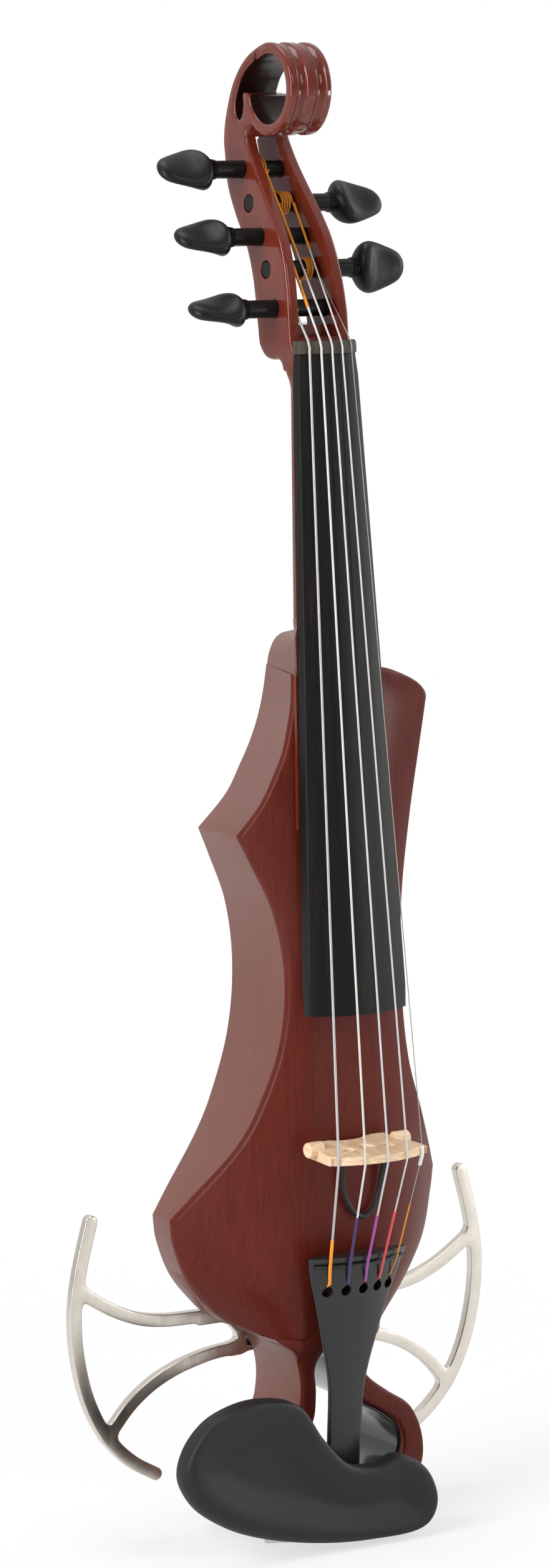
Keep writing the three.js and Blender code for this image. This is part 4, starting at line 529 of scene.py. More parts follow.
def solid(shape):
    vertices, faces = shape
    mesh = bpy.data.meshes.new("shape")
    mesh.from_pydata([p * MM for p in vertices], [], faces)
    box = bmesh.new()
    box.from_mesh(mesh)
    bmesh.ops.remove_doubles(box, verts=box.verts, dist=DOUBLES)
    used = {v for f in box.faces for v in f.verts}
    bmesh.ops.delete(box, geom=[v for v in box.verts if v not in used], context="VERTS")
    bmesh.ops.recalc_face_normals(box, faces=box.faces)
    box.to_mesh(mesh)
    box.free()
    return linked("shape", mesh)


def cut(obj, *shapes):
    """Takes the shapes out of the object."""
    tools = [solid(shape) for shape in shapes]
    for tool in tools:
        step = obj.modifiers.new("cut", "BOOLEAN")
        step.operation, step.solver, step.object = "DIFFERENCE", "EXACT", tool
    bpy.context.view_layer.update()
    done = obj.evaluated_get(bpy.context.evaluated_depsgraph_get())
    mesh = bpy.data.meshes.new_from_object(done)
    obj.modifiers.clear()
    obj.data = mesh
    for tool in tools:
        bpy.data.objects.remove(tool)
    return obj


def joined(obj, *shapes):
    """Adds the shapes to the object's mesh as they are."""
    box = bmesh.new()
    box.from_mesh(obj.data)
    for shape in shapes:
        extra = solid(shape)
        box.from_mesh(extra.data)
        bpy.data.objects.remove(extra)
    box.to_mesh(obj.data)
    box.free()
    return obj


def piece(shape, name, look, nodes=(), body="violin", sharp=38):
    obj = shape if isinstance(shape, bpy.types.Object) else solid(shape)
    obj.name = obj.data.name = name
    obj.data.materials.clear()
    obj.data.materials.append(look)
    obj.data.shade_smooth()
    obj.data.set_sharp_from_angle(angle=math.radians(sharp))
    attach(obj, body)
    if nodes:
        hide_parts(*nodes)
    return obj


# Materials

BUMP_DISTANCE = 0.0001
SHEEN_ROUGHNESS = 0.4


def tint(red, green, blue):
    """A colour as seen on a screen, in linear light."""

    def linear(part):
        part /= 255
        return part / 12.92 if part <= 0.04045 else ((part + 0.055) / 1.055) ** 2.4

    return (linear(red), linear(green), linear(blue), 1)


class Nodes:
    """Short calls for the nodes of one tree. A value is a number, a colour or a socket."""

    def __init__(self, tree):
        self.tree = tree

    def fill(self, node, values):
        for name, value in values.items():
            if isinstance(value, bpy.types.NodeSocket):
                self.tree.links.new(value, node.inputs[name])
            else:
                node.inputs[name].default_value = value

    def add(self, kind, values, output=0, **settings):
        """Adds a node and gives one of its outputs."""
        node = self.tree.nodes.new("ShaderNode" + kind)
        for name, value in settings.items():
            setattr(node, name, value)
        self.fill(node, values)
        return node.outputs[output]

    def noise(self, scale, detail, distortion=0.0, turn=(0, 0, 0)):
        where = self.add("TexCoord", {}, "Object")
        place = self.add("Mapping", {"Vector": where, "Scale": scale, "Rotation": turn})
        values = {"Vector": place, "Scale": 1.0, "Detail": detail, "Distortion": distortion}
        return self.add("TexNoise", values, "Fac")

    def ramp(self, value, *stops):
        color = self.add("ValToRGB", {"Fac": value})
        elements = color.node.color_ramp.elements
        while len(elements) < len(stops):
            elements.new(0.5)
        for element, (position, tone) in zip(elements, stops):
            element.position, element.color = position, tone
        return color

    def grey(self, value, low, high):
        return self.add("MapRange", {"Value": value, "To Min": low, "To Max": high})

    def over(self, factor, under, above):
        """Mixes two colours; 6, 7 and 2 are the colour sockets of the mix node."""
        return self.add("Mix", {0: factor, 6: under, 7: above}, 2, data_type="RGBA")

    def math(self, operation, a, b):
        return self.add("Math", {0: a, 1: b}, operation=operation)

    def is_ray(self, *kinds):
        rays = [self.add("LightPath", {}, "Is " + kind + " Ray") for kind in kinds]
        return rays[0] if len(rays) == 1 else self.math("MAXIMUM", *rays)

    def soft_step(self, value, edges, ends):
        values = {"Value": value, "From Min": edges[0], "From Max": edges[1]}
        values |= {"To Min": ends[0], "To Max": ends[1]}
        return self.add("MapRange", values, interpolation_type="SMOOTHSTEP")

    def blend(self, factor, under, above):
        return self.add("MixShader", {0: factor, 1: under, 2: above})


class Look(Nodes):
    """A material around one shader, whose steady values are set on its own sockets."""

    def __init__(
        self, name, color, roughness, metallic=0.0, sheen=0.0, gloss=0.5, coat=0.0, coat_rough=0.2
    ):
        self.material = bpy.data.materials.new(name)
        self.material.use_nodes = True
        super().__init__(self.material.node_tree)
        self.shader = self.tree.nodes["Principled BSDF"]
        steady = {"Base Color": color, "Roughness": roughness, "Metallic": metallic}
        steady |= {"Coat Weight": coat, "Coat Roughness": coat_rough}
        steady |= {"Sheen Weight": sheen, "Sheen Roughness": SHEEN_ROUGHNESS}
        self.fill(self.shader, steady | {"Specular IOR Level": gloss})

    def finished(self, color, wear, low, high, height, strength):
        """Takes a colour, a roughness between two values and a bump; gives the material."""
        bump = {"Height": height, "Strength": strength, "Distance": BUMP_DISTANCE}
        self.fill(self.shader, {"Base Color": color, "Roughness": self.grey(wear, low, high)})
        self.fill(self.shader, {"Normal": self.add("Bump", bump)})
        return self.material


def stained_wood(name, tones, roughness, coat, coat_rough=0.16):
    deep, middle, pale = [tint(*tone) for tone in tones]
    look = Look(name, middle, roughness, coat=coat, coat_rough=coat_rough, gloss=0.1)
    grain = look.noise((760, 760, 70), detail=6, distortion=0.8)
    fleck = look.noise((1900, 1900, 420), detail=3)
    cloud = look.noise((18, 18, 9), detail=3, distortion=0.6)
    toned = look.ramp(grain, (0.32, deep), (0.52, middle), (0.74, pale))
    patch = look.ramp(cloud, (0.35, deep), (0.6, middle), (0.8, pale))
    fine = look.ramp(fleck, (0.28, deep), (0.4, middle))
    toned = look.over(look.grey(cloud, 0.35, 0.55), toned, patch)
    toned = look.over(look.grey(fleck, 0.0, 0.3), toned, fine)
    return look.finished(toned, grain, roughness - 0.05, roughness + 0.06, grain, 0.06)


def ebony(name, tones):
    deep, pale, streak = [tint(*tone) for tone in tones]
    look = Look(name, deep, 0.44, gloss=0.2)
    grain = look.noise((420, 420, 16), detail=6, distortion=0.4)
    pores = look.noise((2600, 2600, 150), detail=2)
    toned = look.ramp(grain, (0.35, deep), (0.6, pale), (0.78, streak))
    toned = look.over(look.grey(pores, 0.0, 0.35), toned, deep)
    return look.finished(toned, pores, 0.38, 0.52, pores, 0.15)


def maple(name, tones):
    pale, warm, fleck = [tint(*tone) for tone in tones]
    look = Look(name, pale, 0.5)
    grain = look.noise((350, 90, 900), detail=4, distortion=0.2)
    rays = look.noise((520, 1500, 3400), detail=2, turn=(0, 0, 0.25))
    toned = look.ramp(grain, (0.35, warm), (0.62, pale))
    spots = look.ramp(rays, (0.62, (0, 0, 0, 1)), (0.7, (1, 1, 1, 1)))
    return look.finished(look.over(spots, toned, fleck), grain, 0.45, 0.6, rays, 0.1)


def moulded(name, dark, pale, roughness, grain_scale=1400, coat=0.0, strength=0.1, gloss=0.35):
    dark, pale = tint(*dark), tint(*pale)
    look = Look(name, dark, roughness, coat=coat, gloss=gloss)
    grain = look.noise((grain_scale,) * 3, detail=3)
    toned = look.over(look.noise((30, 30, 30), detail=2), dark, pale)
    return look.finished(toned, grain, roughness - 0.05, roughness + 0.08, grain, strength)


def metal(name, dark, pale, roughness, scale, strength=0.1):
    dark, pale = tint(*dark), tint(*pale)
    look = Look(name, pale, roughness, metallic=1.0)
    streaks = look.noise(scale, detail=4)
    blotches = look.noise((120, 120, 120), detail=4, distortion=0.5)
    toned = look.over(look.grey(blotches, 0.1, 0.9), dark, pale)
    return look.finished(toned, streaks, roughness - 0.07, roughness + 0.1, streaks, strength)


def wound(name, dark, pale, roughness, pitch, metallic=0.0, sheen=0.0):
    """Fine thread or wire wound round a string that runs up."""
    dark, pale = tint(*dark), tint(*pale)
    look = Look(name, pale, roughness, metallic=metallic, sheen=sheen)
    where = look.add("TexCoord", {}, "Object")
    values = {"Vector": where, "Scale": pitch, "Distortion": 0.4}
    turns = look.add("TexWave", values, "Fac", bands_direction="Z")
    hair = look.noise((3000, 3000, 900), detail=2)
    toned = look.over(turns, dark, pale)
    return look.finished(toned, hair, roughness - 0.08, roughness + 0.1, turns, 0.3)


FRONT_STAIN = [(72, 21, 12), (88, 28, 16), (104, 38, 24)]
# The sides' tones are the body's stain lightened and greyed by a painted sheen; the front's tones
# are the stain alone.
SIDE_STAIN_AND_SHEEN = [(98, 59, 51), (108, 67, 58), (118, 75, 65)]
NECK_STAIN = [(78, 25, 14), (100, 35, 21), (120, 48, 31)]
# Painted shade: near-black tones for the inside of the scroll's ring, where shade falls.
SCROLL_EYE_SHADE_TONES = [(18, 7, 5), (30, 11, 8), (44, 17, 11)]
FRONT_WOOD = stained_wood("front_wood", FRONT_STAIN, 0.5, 0.16, 0.24)
SIDE_WOOD_AND_SHEEN = stained_wood("side_wood", SIDE_STAIN_AND_SHEEN, 0.46, 0.5, 0.34)
NECK_WOOD = stained_wood("neck_wood", NECK_STAIN, 0.4, 0.8, 0.07)
SHADED_EYE_WOOD = stained_wood("shaded_eye_wood", SCROLL_EYE_SHADE_TONES, 0.36, 0.5)
BOARD_WOOD = ebony("board_wood", [(13, 12, 11), (21, 18, 16), (42, 29, 23)])
NUT_WOOD = ebony("nut_wood", [(58, 51, 44), (78, 69, 59), (92, 79, 66)])
MAPLE = maple("maple", [(232, 205, 172), (216, 180, 142), (188, 144, 108)])
PEG_BLACK = moulded("peg_black", (12, 12, 12), (19, 19, 19), 0.4, strength=0.12, gloss=0.24)
TAIL_BLACK = moulded("tail_black", (20, 21, 20), (28, 29, 27), 0.3, coat=0.25)
GLOSS_BLACK = moulded("gloss_black", (14, 14, 15), (22, 22, 22), 0.16, coat=0.6, strength=0.03)
CHIN_GREY = moulded("chin_grey", (25, 25, 25), (31, 31, 31), 0.5, grain_scale=1800, gloss=0.3)
CABLE_BLACK = moulded("cable_black", (20, 21, 22), (30, 31, 32), 0.45)
COVER_BLACK = moulded("cover_black", (22, 22, 23), (32, 32, 33), 0.55, 900, strength=0.4)
WHITE_PLASTIC = moulded("white_plastic", (222, 220, 215), (238, 236, 232), 0.4)
CORK = moulded("cork", (120, 82, 50), (182, 140, 96), 0.85, grain_scale=600, strength=0.8)
CIRCUIT = moulded("circuit", (20, 70, 38), (34, 96, 54), 0.45)
BATTERY = moulded("battery_case", (36, 37, 40), (52, 53, 56), 0.4)
ALUMINIUM = metal(
    "frame_aluminium", (196, 188, 176), (226, 220, 210), 0.28, (420, 420, 60), strength=0.02
)
STEEL = metal("plated_steel", (176, 178, 180), (208, 210, 212), 0.24, (900, 900, 300))

# Windings: dark and pale tones, for the wire with its roughness and share of metal.
WIRES = {
    "c": ((170, 168, 168), (196, 194, 192), 0.32, 0.7),
    "g": ((196, 193, 188), (222, 219, 214), 0.34, 0.6),
    "d": ((186, 184, 184), (212, 210, 210), 0.32, 0.7),
    "a": ((190, 188, 186), (214, 212, 208), 0.32, 0.7),
    "e": ((150, 146, 138), (178, 173, 164), 0.28, 0.8),
}
SILKS = {
    "c": ((222, 118, 4), (255, 160, 22)),
    "g": ((28, 20, 58), (66, 48, 112)),
    "d": ((112, 40, 110), (178, 84, 164)),
    "a": ((186, 48, 60), (236, 86, 92)),
    "e": ((186, 104, 8), (232, 148, 26)),
}
WIRE_PITCH, SILK_PITCH, PEG_SILK_PITCH = 900, 700, 1600
STRING_LOOKS = {
    name: wound("string_wire_" + name, dark, pale, rough, WIRE_PITCH, metallic=share)
    for name, (dark, pale, rough, share) in WIRES.items()
}
TAIL_SILKS = {
    name: wound("tail_silk_" + name, *tones, 0.7, SILK_PITCH, sheen=0.3)
    for name, tones in SILKS.items()
}
PEG_SILK = wound("peg_silk", (196, 108, 14), (246, 160, 32), 0.7, PEG_SILK_PITCH, sheen=0.3)

# Body outline, as shares: height of BODY_TOP, front edge across of BODY_REACH,
# front edge depth of BODY_DEPTH, back edge across of BODY_REACH.
HEEL_SIDE_SHARES = [
    (1, 0.3, 0.87, 0.1), (0.94, 0.31, 0.88, 0.13), (0.885, 0.34, 0.88, 0.175),
    (0.84, 0.375, 0.88, 0.23), (0.79, 0.44, 0.87, 0.31), (0.73, 0.53, 0.84, 0.42),
    (0.663, 0.64, 0.7, 0.63),
]
WAIST_SIDE_SHARES = [
    (0.663, 0.64, 0.7, 0.63), (0.61, 0.57, 0.75, 0.56), (0.5, 0.43, 0.83, 0.43),
    (0.365, 0.378, 0.9, 0.378), (0.22, 0.42, 0.9, 0.42), (0.08, 0.56, 0.82, 0.56),
    (0, 0.685, 0.73, 0.685), (-0.1, 0.89, 0.5, 0.89), (-0.157, 1, 0.35, 1),
]
BOUT_SIDE_SHARES = [
    (-0.157, 1, 0.35, 1), (-0.21, 0.978, 0.35, 0.978), (-0.29, 0.88, 0.35, 0.88),
    (-0.35, 0.735, 0.35, 0.735), (-0.39, 0.6, 0.4, 0.6),
    (-BODY_BOTTOM / BODY_TOP, 0.4, 0.7, 0.4),
]
SHOULDER_SIDE_SHARES = [
    (1, 0.44, 0.8, 0.44), (0.985, 0.56, 0.8, 0.56), (0.965, 0.68, 0.8, 0.68),
    (0.94, 0.75, 0.8, 0.75), (0.915, 0.745, 0.8, 0.745), (0.84, 0.695, 0.82, 0.695),
    (0.68, 0.6, 0.84, 0.6), (0.5, 0.525, 0.86, 0.525), (0.3, 0.52, 0.88, 0.52),
    (0.16, 0.58, 0.86, 0.58), (0.04, 0.72, 0.78, 0.72), (-0.05, 0.9, 0.54, 0.9),
    (-0.11, 1.02, 0.37, 1.02),
]
RIGHT_BOUT_SIDE_SHARES = [
    (-0.11, 1.02, 0.37, 1.02), (-0.16, 1.01, 0.35, 1.01), (-0.26, 0.945, 0.35, 0.95),
    (-0.34, 0.81, 0.35, 0.85), (-0.39, 0.67, 0.36, 0.74),
    (-BODY_BOTTOM / BODY_TOP, 0.53, 0.4, 0.62),
]
RIDGE_LINE_SHARES = [
    (1, 0.865), (0.68, 0.955), (0.4, 0.99), (0, 1), (-0.15, 0.99), (-0.3, 0.945),
    (-BODY_BOTTOM / BODY_TOP, 0.83),
]


def side_at(tables):
    curves = [(rows[-1][0], smooth_rows(rows)) for rows in tables]

    def at(z):
        share = z / BODY_TOP
        curve = next((one for low, one in curves if share >= low), curves[-1][1])
        across, depth, back = curve(share)
        return across * BODY_REACH, depth * BODY_DEPTH, back * BODY_REACH

    return at


left_side = side_at([HEEL_SIDE_SHARES, WAIST_SIDE_SHARES, BOUT_SIDE_SHARES])
right_side = side_at([SHOULDER_SIDE_SHARES, RIGHT_BOUT_SIDE_SHARES])
ridge_line = smooth_rows(RIDGE_LINE_SHARES)


def ridge_rise(z):
    return ridge_line(z / BODY_TOP)[0] * BODY_DEPTH


def soft_side(side, z):
    """The side's reach and depth, softened over a stretch of height."""
    rows = [side(z + SIDE_SOFTENING * n / 3) for n in range(-3, 4)]
    shares = [4 - abs(n) for n in range(-3, 4)]
    return [
        sum(share * row[column] for share, row in zip(shares, rows)) / sum(shares)
        for column in (0, 1)
    ]


def front_at(x, z):
    """Y of the body's front, with its flat middle and falling sides."""
    side = left_side if x < 0 else right_side
    across, depth, _ = side(z)
    soft_across, soft_depth = soft_side(side, z)
    outward = clamp(abs(x) / across) ** EDGE_POWER
    reach = mix(soft_across, across, outward)
    level = min(ARCH_FLAT, reach / 2)
    share = clamp((abs(x) - level) / (reach - level))
    fall = mix(soft_depth, depth, outward)
    return -ridge_rise(z) + (ridge_rise(z) - fall) * share**ARCH_POWER


def body_levels():
    """Heights and insets of the body's sections, rounded at both ends."""
    tables = (HEEL_SIDE_SHARES, WAIST_SIDE_SHARES, SHOULDER_SIDE_SHARES)
    corners = [rows[-1][0] * BODY_TOP for rows in tables]
    even = spread(BODY_TOP - EDGE, -BODY_BOTTOM + EDGE, BODY_LEVELS)
    near = (BODY_TOP + BODY_BOTTOM) / BODY_LEVELS / 3
    levels = [(z, 0) for z in even if all(abs(z - one) > near for one in corners)]
    levels += [(z, 0) for z in corners]
    for turn in (30, 60, 90):
        rise = EDGE * math.sin(math.radians(turn))
        inset = EDGE - EDGE * math.cos(math.radians(turn))
        levels += [(BODY_TOP - EDGE + rise, inset), (-BODY_BOTTOM + EDGE - rise, inset)]
    return sorted(levels, reverse=True)


def squeezed(ring, z, inset):
    """The ring drawn in by an inset; under the heel the top edge stays square."""
    left, right = left_side(z)[0], right_side(z)[0]
    moved = []
    for x, y in ring:
        reach = left if x < 0 else right
        drawn = inset * ease(x / (HEEL_WIDTH / 2)) if z > 0 else inset
        moved.append((x * (1 - drawn / reach), y * (1 - 2 * drawn / BODY_DEPTH) - drawn, z))
    return moved


def rounded_corner(start, corner, end, steps=5):
    return [
        tuple(mix(mix(a, b, t), mix(b, c, t), t) for a, b, c in zip(start, corner, end))
        for t in spread(0, 1, steps)
    ]


def crowned(left, right, top, corner, corner_steps, steps):
    """The front line of a section from x = left to right, with rounded corners."""
    start, end = left + corner, right - corner
    low, high = (left, top(left)), (right, top(right))
    line = rounded_corner((left, low[1] + corner), low, (start, top(start)), corner_steps)
    line += [(x, top(x)) for x in spread(start, end, steps)[1:-1]]
    return line + rounded_corner(
        (end, top(end)), high, (right, high[1] + corner), corner_steps
    )


UNDERSIDE_SHARES = (0.1, 0.3, 0.5, 0.7, 0.9)


def plate_ring(z, inset):
    (left, left_depth, _), (right, right_depth, _) = left_side(z), right_side(z)
    line = crowned(-left, right, lambda x: front_at(x, z), CORNER, 5, FRONT_STEPS)
    ring = [(-left, -left_depth + PLATE_THICKNESS), *line, (right, -right_depth + PLATE_THICKNESS)]
    for share in reversed(UNDERSIDE_SHARES):
        x = mix(-left, right, share)
        ring.append((x, front_at(x, z) + PLATE_THICKNESS))
    return squeezed(ring, z, inset)


def core_ring(z, inset):
    (left, left_depth, left_back), (right, right_depth, right_back) = left_side(z), right_side(z)
    sink = PLATE_THICKNESS + SEAM
    ring = [(-left, -left_depth + sink)]
    for share in UNDERSIDE_SHARES:
        x = mix(-left, right, share)
        ring.append((x, front_at(x, z) + sink))
    ring.append((right, -right_depth + sink))
    ring += rounded_corner((right_back, -EDGE), (right_back, 0), (right_back - EDGE, 0), 3)
    ring += rounded_corner((-left_back + EDGE, 0), (-left_back, 0), (-left_back, -EDGE), 3)
    return squeezed(ring, z, inset)


# Tail loop, as shares of LOOP_REACH across and LOOP_BOTTOM down.
LOOP_OUTER_SHARES = [
    (-0.62, -0.476), (-0.53, -0.52), (-0.4, -0.552), (-0.315, -0.608), (-0.3, -0.678),
    (-0.36, -0.744), (-0.62, -0.8), (-0.91, -0.84), (-1, -0.9), (-0.94, -0.95), (-0.8, -0.975),
    (-0.45, -0.995), (0, -1), (0.5, -0.997), (0.85, -0.972), (1, -0.91), (1, -0.83),
    (0.87, -0.749), (0.63, -0.699), (0.43, -0.653), (0.33, -0.608), (0.4, -0.562),
    (0.62, -0.527), (0.7, -0.476),
]
LOOP_INNER_SHARES = [
    (-0.14, -0.608), (-0.06, -0.56), (0.03, -0.572), (0.14, -0.638), (0.36, -0.714),
    (0.57, -0.751), (0.75, -0.795), (0.8, -0.845), (0.74, -0.896), (0.5, -0.923), (0, -0.93),
    (-0.5, -0.923), (-0.72, -0.896), (-0.68, -0.866), (-0.4, -0.82), (-0.17, -0.754),
    (-0.13, -0.678),
]
LOOP_BLEND = 14
LOOP_OVERLAP = 1.6
LOOP_SOFT_START = 4
LOOP_SHARP_SHARE = 0.1


def loop_outline(shares):
    return smooth_flat([(u * LOOP_REACH, w * LOOP_BOTTOM) for u, w in shares], 8, closed=True)


def loop_front(u, w, distance):
    share = ease((-BODY_BOTTOM - w) / LOOP_BLEND)
    return mix(front_at(u, -BODY_BOTTOM + EDGE) + GAP, -LOOP_DEPTH, share)


def loop_edge(u, w):
    return LOOP_EDGE * mix(LOOP_SHARP_SHARE, 1, clamp((-BODY_BOTTOM - w) / LOOP_SOFT_START))


# Back layout of the electronics: left, right, low and high sides.
CAVITY = (-11, 23, -66, -14)
BATTERY_BAY = (-45, -16.5, -64, -12)
KNOB_PLACES = [(38, -22), (38, -46)]
JACK_PLACE = (25.5, -13)
PHONES_PLACE = (36, -11)


def recess(box, depth, lip=0.0):
    left, right, low, high = box
    return block(left - lip, right + lip, -depth, 2 * EDGE, low - lip, high + lip)


def lead_bore():
    x, _, z = lead_point(LEAD_SHARES[-1])
    return rod(LEAD_HOLE_RADIUS, (x, -BODY_DEPTH - EDGE, z), (x, EDGE - CAVITY_DEPTH, z))


def back_cutters():
    """The rooms of the electronics in the body."""
    cover_depth = COVER_THICKNESS + GAP
    cutters = [
        recess(CAVITY, cover_depth, COVER_LIP),
        recess(CAVITY, CAVITY_DEPTH),
        recess(BATTERY_BAY, cover_depth, COVER_LIP),
        recess(BATTERY_BAY, COVER_THICKNESS + BATTERY_DEPTH + 2 * GAP + EDGE),
        lead_bore(),
    ]
    floor = -KNOB_HEIGHT - 2 * GAP - EDGE
    for x, z in KNOB_PLACES:
        cutters.append(rod(KNOB_RADIUS + EDGE, (x, floor, z), (x, 2 * EDGE, z)))
        low = (x, floor - GAP - POT_DEPTH, z)
        cutters.append(rod(POT_RADIUS + GAP, low, (x, floor + EDGE, z)))
    for (x, y), radius in ((JACK_PLACE, JACK_RADIUS), (PHONES_PLACE, PHONES_RADIUS)):
        high = (x, y, -BODY_BOTTOM + JACK_LENGTH + GAP)
        cutters.append(rod(radius + GAP, (x, y, -BODY_BOTTOM - 2 * EDGE), high))
    return cutters


def build_body():
    levels = body_levels()
    plate = cut(solid(loft([plate_ring(*at) for at in levels])), lead_bore())
    piece(plate, "body_front", FRONT_WOOD, ["top_plate"])

    core = cut(solid(loft([core_ring(*at) for at in levels])), *back_cutters())
    hole, high = loop_outline(LOOP_INNER_SHARES), -BODY_BOTTOM + LOOP_OVERLAP
    outer = [(u, min(w, high)) for u, w in loop_outline(LOOP_OUTER_SHARES)]
    outer = [
        (u, w)
        for i, (u, w) in enumerate(outer)
        if w < high or abs(u - outer[i - 1][0]) > EDGE
    ]
    joined(core, sheet([outer, hole], loop_front, lambda *at: 0, loop_edge, 3, seen_front))
    piece(core, "body_sides", SIDE_WOOD_AND_SHEEN, ["body_core"])
    # Faces of the loop that face forward get the front's colour; the rest keep the sides' colour
    # with its painted sheen.
    core.data.materials.append(FRONT_WOOD)
    for face in core.data.polygons:
        if face.center.z < high * MM and face.normal.y < -FACING:
            face.material_index = 1

    front, back, soft = LINER_SETBACK - LOOP_DEPTH, -GAP, LINER_THICKNESS / 4
    section = [(0, front + soft), (0.25, front), (0.75, front), (1, front + soft)]
    section += [(1, back - soft), (0.75, back), (0.25, back), (0, back - soft)]
    rings = []
    for (ua, wa), (ub, wb) in zip(shifted(hole, GAP), shifted(hole, GAP + LINER_THICKNESS)):
        rings.append([(mix(ua, ub, share), depth, mix(wa, wb, share)) for share, depth in section])
    piece(loft(rings, wrapped=True), "loop_liner", GLOSS_BLACK, ["tail_loop_liner"])


# Neck and fingerboard


def board_share(z):
    return (STRING_LENGTH - z) / BOARD_LENGTH


def board_half(z):
    return mix(BOARD_NUT_WIDTH, BOARD_END_WIDTH, board_share(z)) / 2


def board_back(z):
    at_foot = -ridge_rise(NECK_FOOT_END) - NECK_FOOT_THICKNESS
    return at_foot + (z - NECK_FOOT_END) * BOARD_SLOPE


def board_crown(z):
    return board_back(z) - mix(BOARD_DEPTH_AT_NUT, BOARD_DEPTH_AT_END, board_share(z))


def arc_drop(x, radius):
    return radius - math.sqrt(radius * radius - x * x)


def string_across(spread, index):
    return spread * (index / (len(STRING_NAMES) - 1) - 1 / 2)


# Heel seen from the side: height, and depth of its back.
HEEL_TOP = 220
HEEL_WEDGE = 212
heel_back = smooth_rows(
    [
        (HEEL_TOP, -29.4), (216.5, -26.6), (214, -22.8), (212.7, -18.5), (211.4, -12.5),
        (209, -7.4), (205.9, -4.2), (201.5, -1.5), (BODY_TOP, -0.15),
    ]
)
NECK_STEPS = 24
CHIN_END = 6.4
CHIN_FILLET = 9
BOX_POWER = 0.3
HEEL_SIDE_PART = 0.82


def neck_ring(z):
    box = 1 - ease((STRING_LENGTH - CHIN_END - z) / CHIN_FILLET)
    wedge = ease((HEEL_TOP - z) / (HEEL_TOP - HEEL_WEDGE))
    half = mix(board_half(z) - NECK_INSET, head_half(z), box)
    half = mix(half, HEEL_WIDTH / 2, wedge)
    front = board_back(z) + GAP / 4
    share = (STRING_LENGTH - EDGE - z) / (STRING_LENGTH - EDGE - HEEL_TOP)
    back = heel_back(z)[0]
    if z >= HEEL_TOP:
        back = front + mix(NECK_DEPTH_AT_NUT, NECK_DEPTH_AT_HEEL, share)
    power = mix(1, BOX_POWER, box)
    low = HEEL_BUTTON_WIDTH / 2
    heel_edge = -left_side(BODY_TOP)[1]
    side = []
    for run in spread(0, 1, NECK_STEPS):
        turn = math.pi / 2 * run
        round_x = half * math.cos(turn) ** power
        round_y = front + EDGE + (back - front - EDGE) * math.sin(turn) ** power
        fall = clamp((run - HEEL_SIDE_PART) / (1 - HEEL_SIDE_PART)) * math.pi / 2
        if fall == 0:
            sharp_y = mix(front + EDGE, back - EDGE, clamp(run / HEEL_SIDE_PART))
            behind = clamp((sharp_y - heel_edge) / (back - EDGE - heel_edge))
            sharp_x = mix(half, low, behind)
        else:
            sharp_x, sharp_y = low * math.cos(fall), back - EDGE + EDGE * math.sin(fall)
        side.append((mix(round_x, sharp_x, wedge), mix(round_y, sharp_y, wedge)))
    ring = [(half, front)] + side + [(-x, y) for x, y in reversed(side[:-1])] + [(-half, front)]
    return [(x, y, z) for x, y in ring]


NECK_LEVELS = 60
NECK_LEVEL_POWER = 1.5


def build_neck():
    count = NECK_LEVELS
    shares = [(i / count) ** NECK_LEVEL_POWER for i in range(count)]
    heights = [mix(STRING_LENGTH - EDGE, HEEL_TOP, share) for share in shares]
    heights += spread(HEEL_TOP, BODY_TOP + GAP / 4, count)
    foot_rings = []
    for z in (BODY_TOP + 2 * EDGE, BODY_TOP, mix(BODY_TOP, NECK_FOOT_END, 0.5), NECK_FOOT_END):
        half = board_half(z) + EDGE / 2
        front, back = board_back(z) + GAP, -ridge_rise(min(z, BODY_TOP)) - GAP / 4
        foot_rings.append([(-half, front, z), (half, front, z), (half, back, z), (-half, back, z)])
    head = joined(build_head(), loft([neck_ring(z) for z in heights]), loft(foot_rings))
    piece(head, "neck_head", NECK_WOOD, ["neck_and_scroll"])
    paint_eye_shade_and_heel_sheen(head)


# Head side view, as shares of HEAD_DEPTH back from the board's underside at the
# nut and of HEAD_HEIGHT above the nut line.
PEGBOX_FRONT_SHARES = [
    (0, 0), (0.02, 0.045), (0.04, 0.135), (0.07, 0.215), (0.12, 0.295), (0.195, 0.373),
    (0.31, 0.45), (0.445, 0.53), (0.575, 0.61), (0.66, 0.675), (0.69, 0.705),
]
HEAD_BACK_SHARES = [
    (0.547, 0.992), (0.68, 0.964), (0.79, 0.925), (0.885, 0.87), (0.945, 0.81), (0.98, 0.755),
    (0.99, 0.69), (0.965, 0.635), (0.91, 0.54), (0.78, 0.44), (0.63, 0.345), (0.52, 0.23),
    (0.45, 0.09), (0.42, 0.015), (0.37, -0.015), (0.285, -0.024), (0.21, -0.022),
    (0.175, -0.035), (0.16, -0.06),
]
ARCH_INNER_SHARES = [
    (0.59, 0.948), (0.7, 0.918), (0.77, 0.887), (0.82, 0.847), (0.85, 0.81), (0.84, 0.773),
    (0.805, 0.753), (0.768, 0.762), (0.745, 0.797), (0.753, 0.842),
]
HEAD_WIDTH_SHARES = [
    (-0.2, 0.4), (-0.03, 0.455), (0.03, 0.5), (0.13, 0.5), (0.29, 0.466), (0.45, 0.434),
    (0.61, 0.386), (0.7, 0.362), (0.78, 0.345), (1.1, 0.345),
]
POCKET_FLOOR_SHARE = 0.052
PEGBOX_FLOOR_SHARE = 0.09
PEGBOX_CEILING_SHARE = 0.698
SLOT_BEAD = 1.3
EYE_SHADE_SHARE = 0.735
RING_TURN_SHARES = (-0.137, -0.766)
EYE_TURN_SHARES = (-0.025, -0.79)

head_base = board_back(STRING_LENGTH)
scroll_centre = (head_base + SCROLL_CENTRE_BACK, STRING_LENGTH + SCROLL_CENTRE_UP)


def head_point(shares):
    return (head_base + shares[0] * HEAD_DEPTH, STRING_LENGTH + shares[1] * HEAD_HEIGHT)


def turn_points(radius, turns, count):
    y, z = scroll_centre
    angles = [2 * math.pi * turn for turn in spread(*turns, count)]
    return [(y + radius * math.cos(a), z + radius * math.sin(a)) for a in angles]


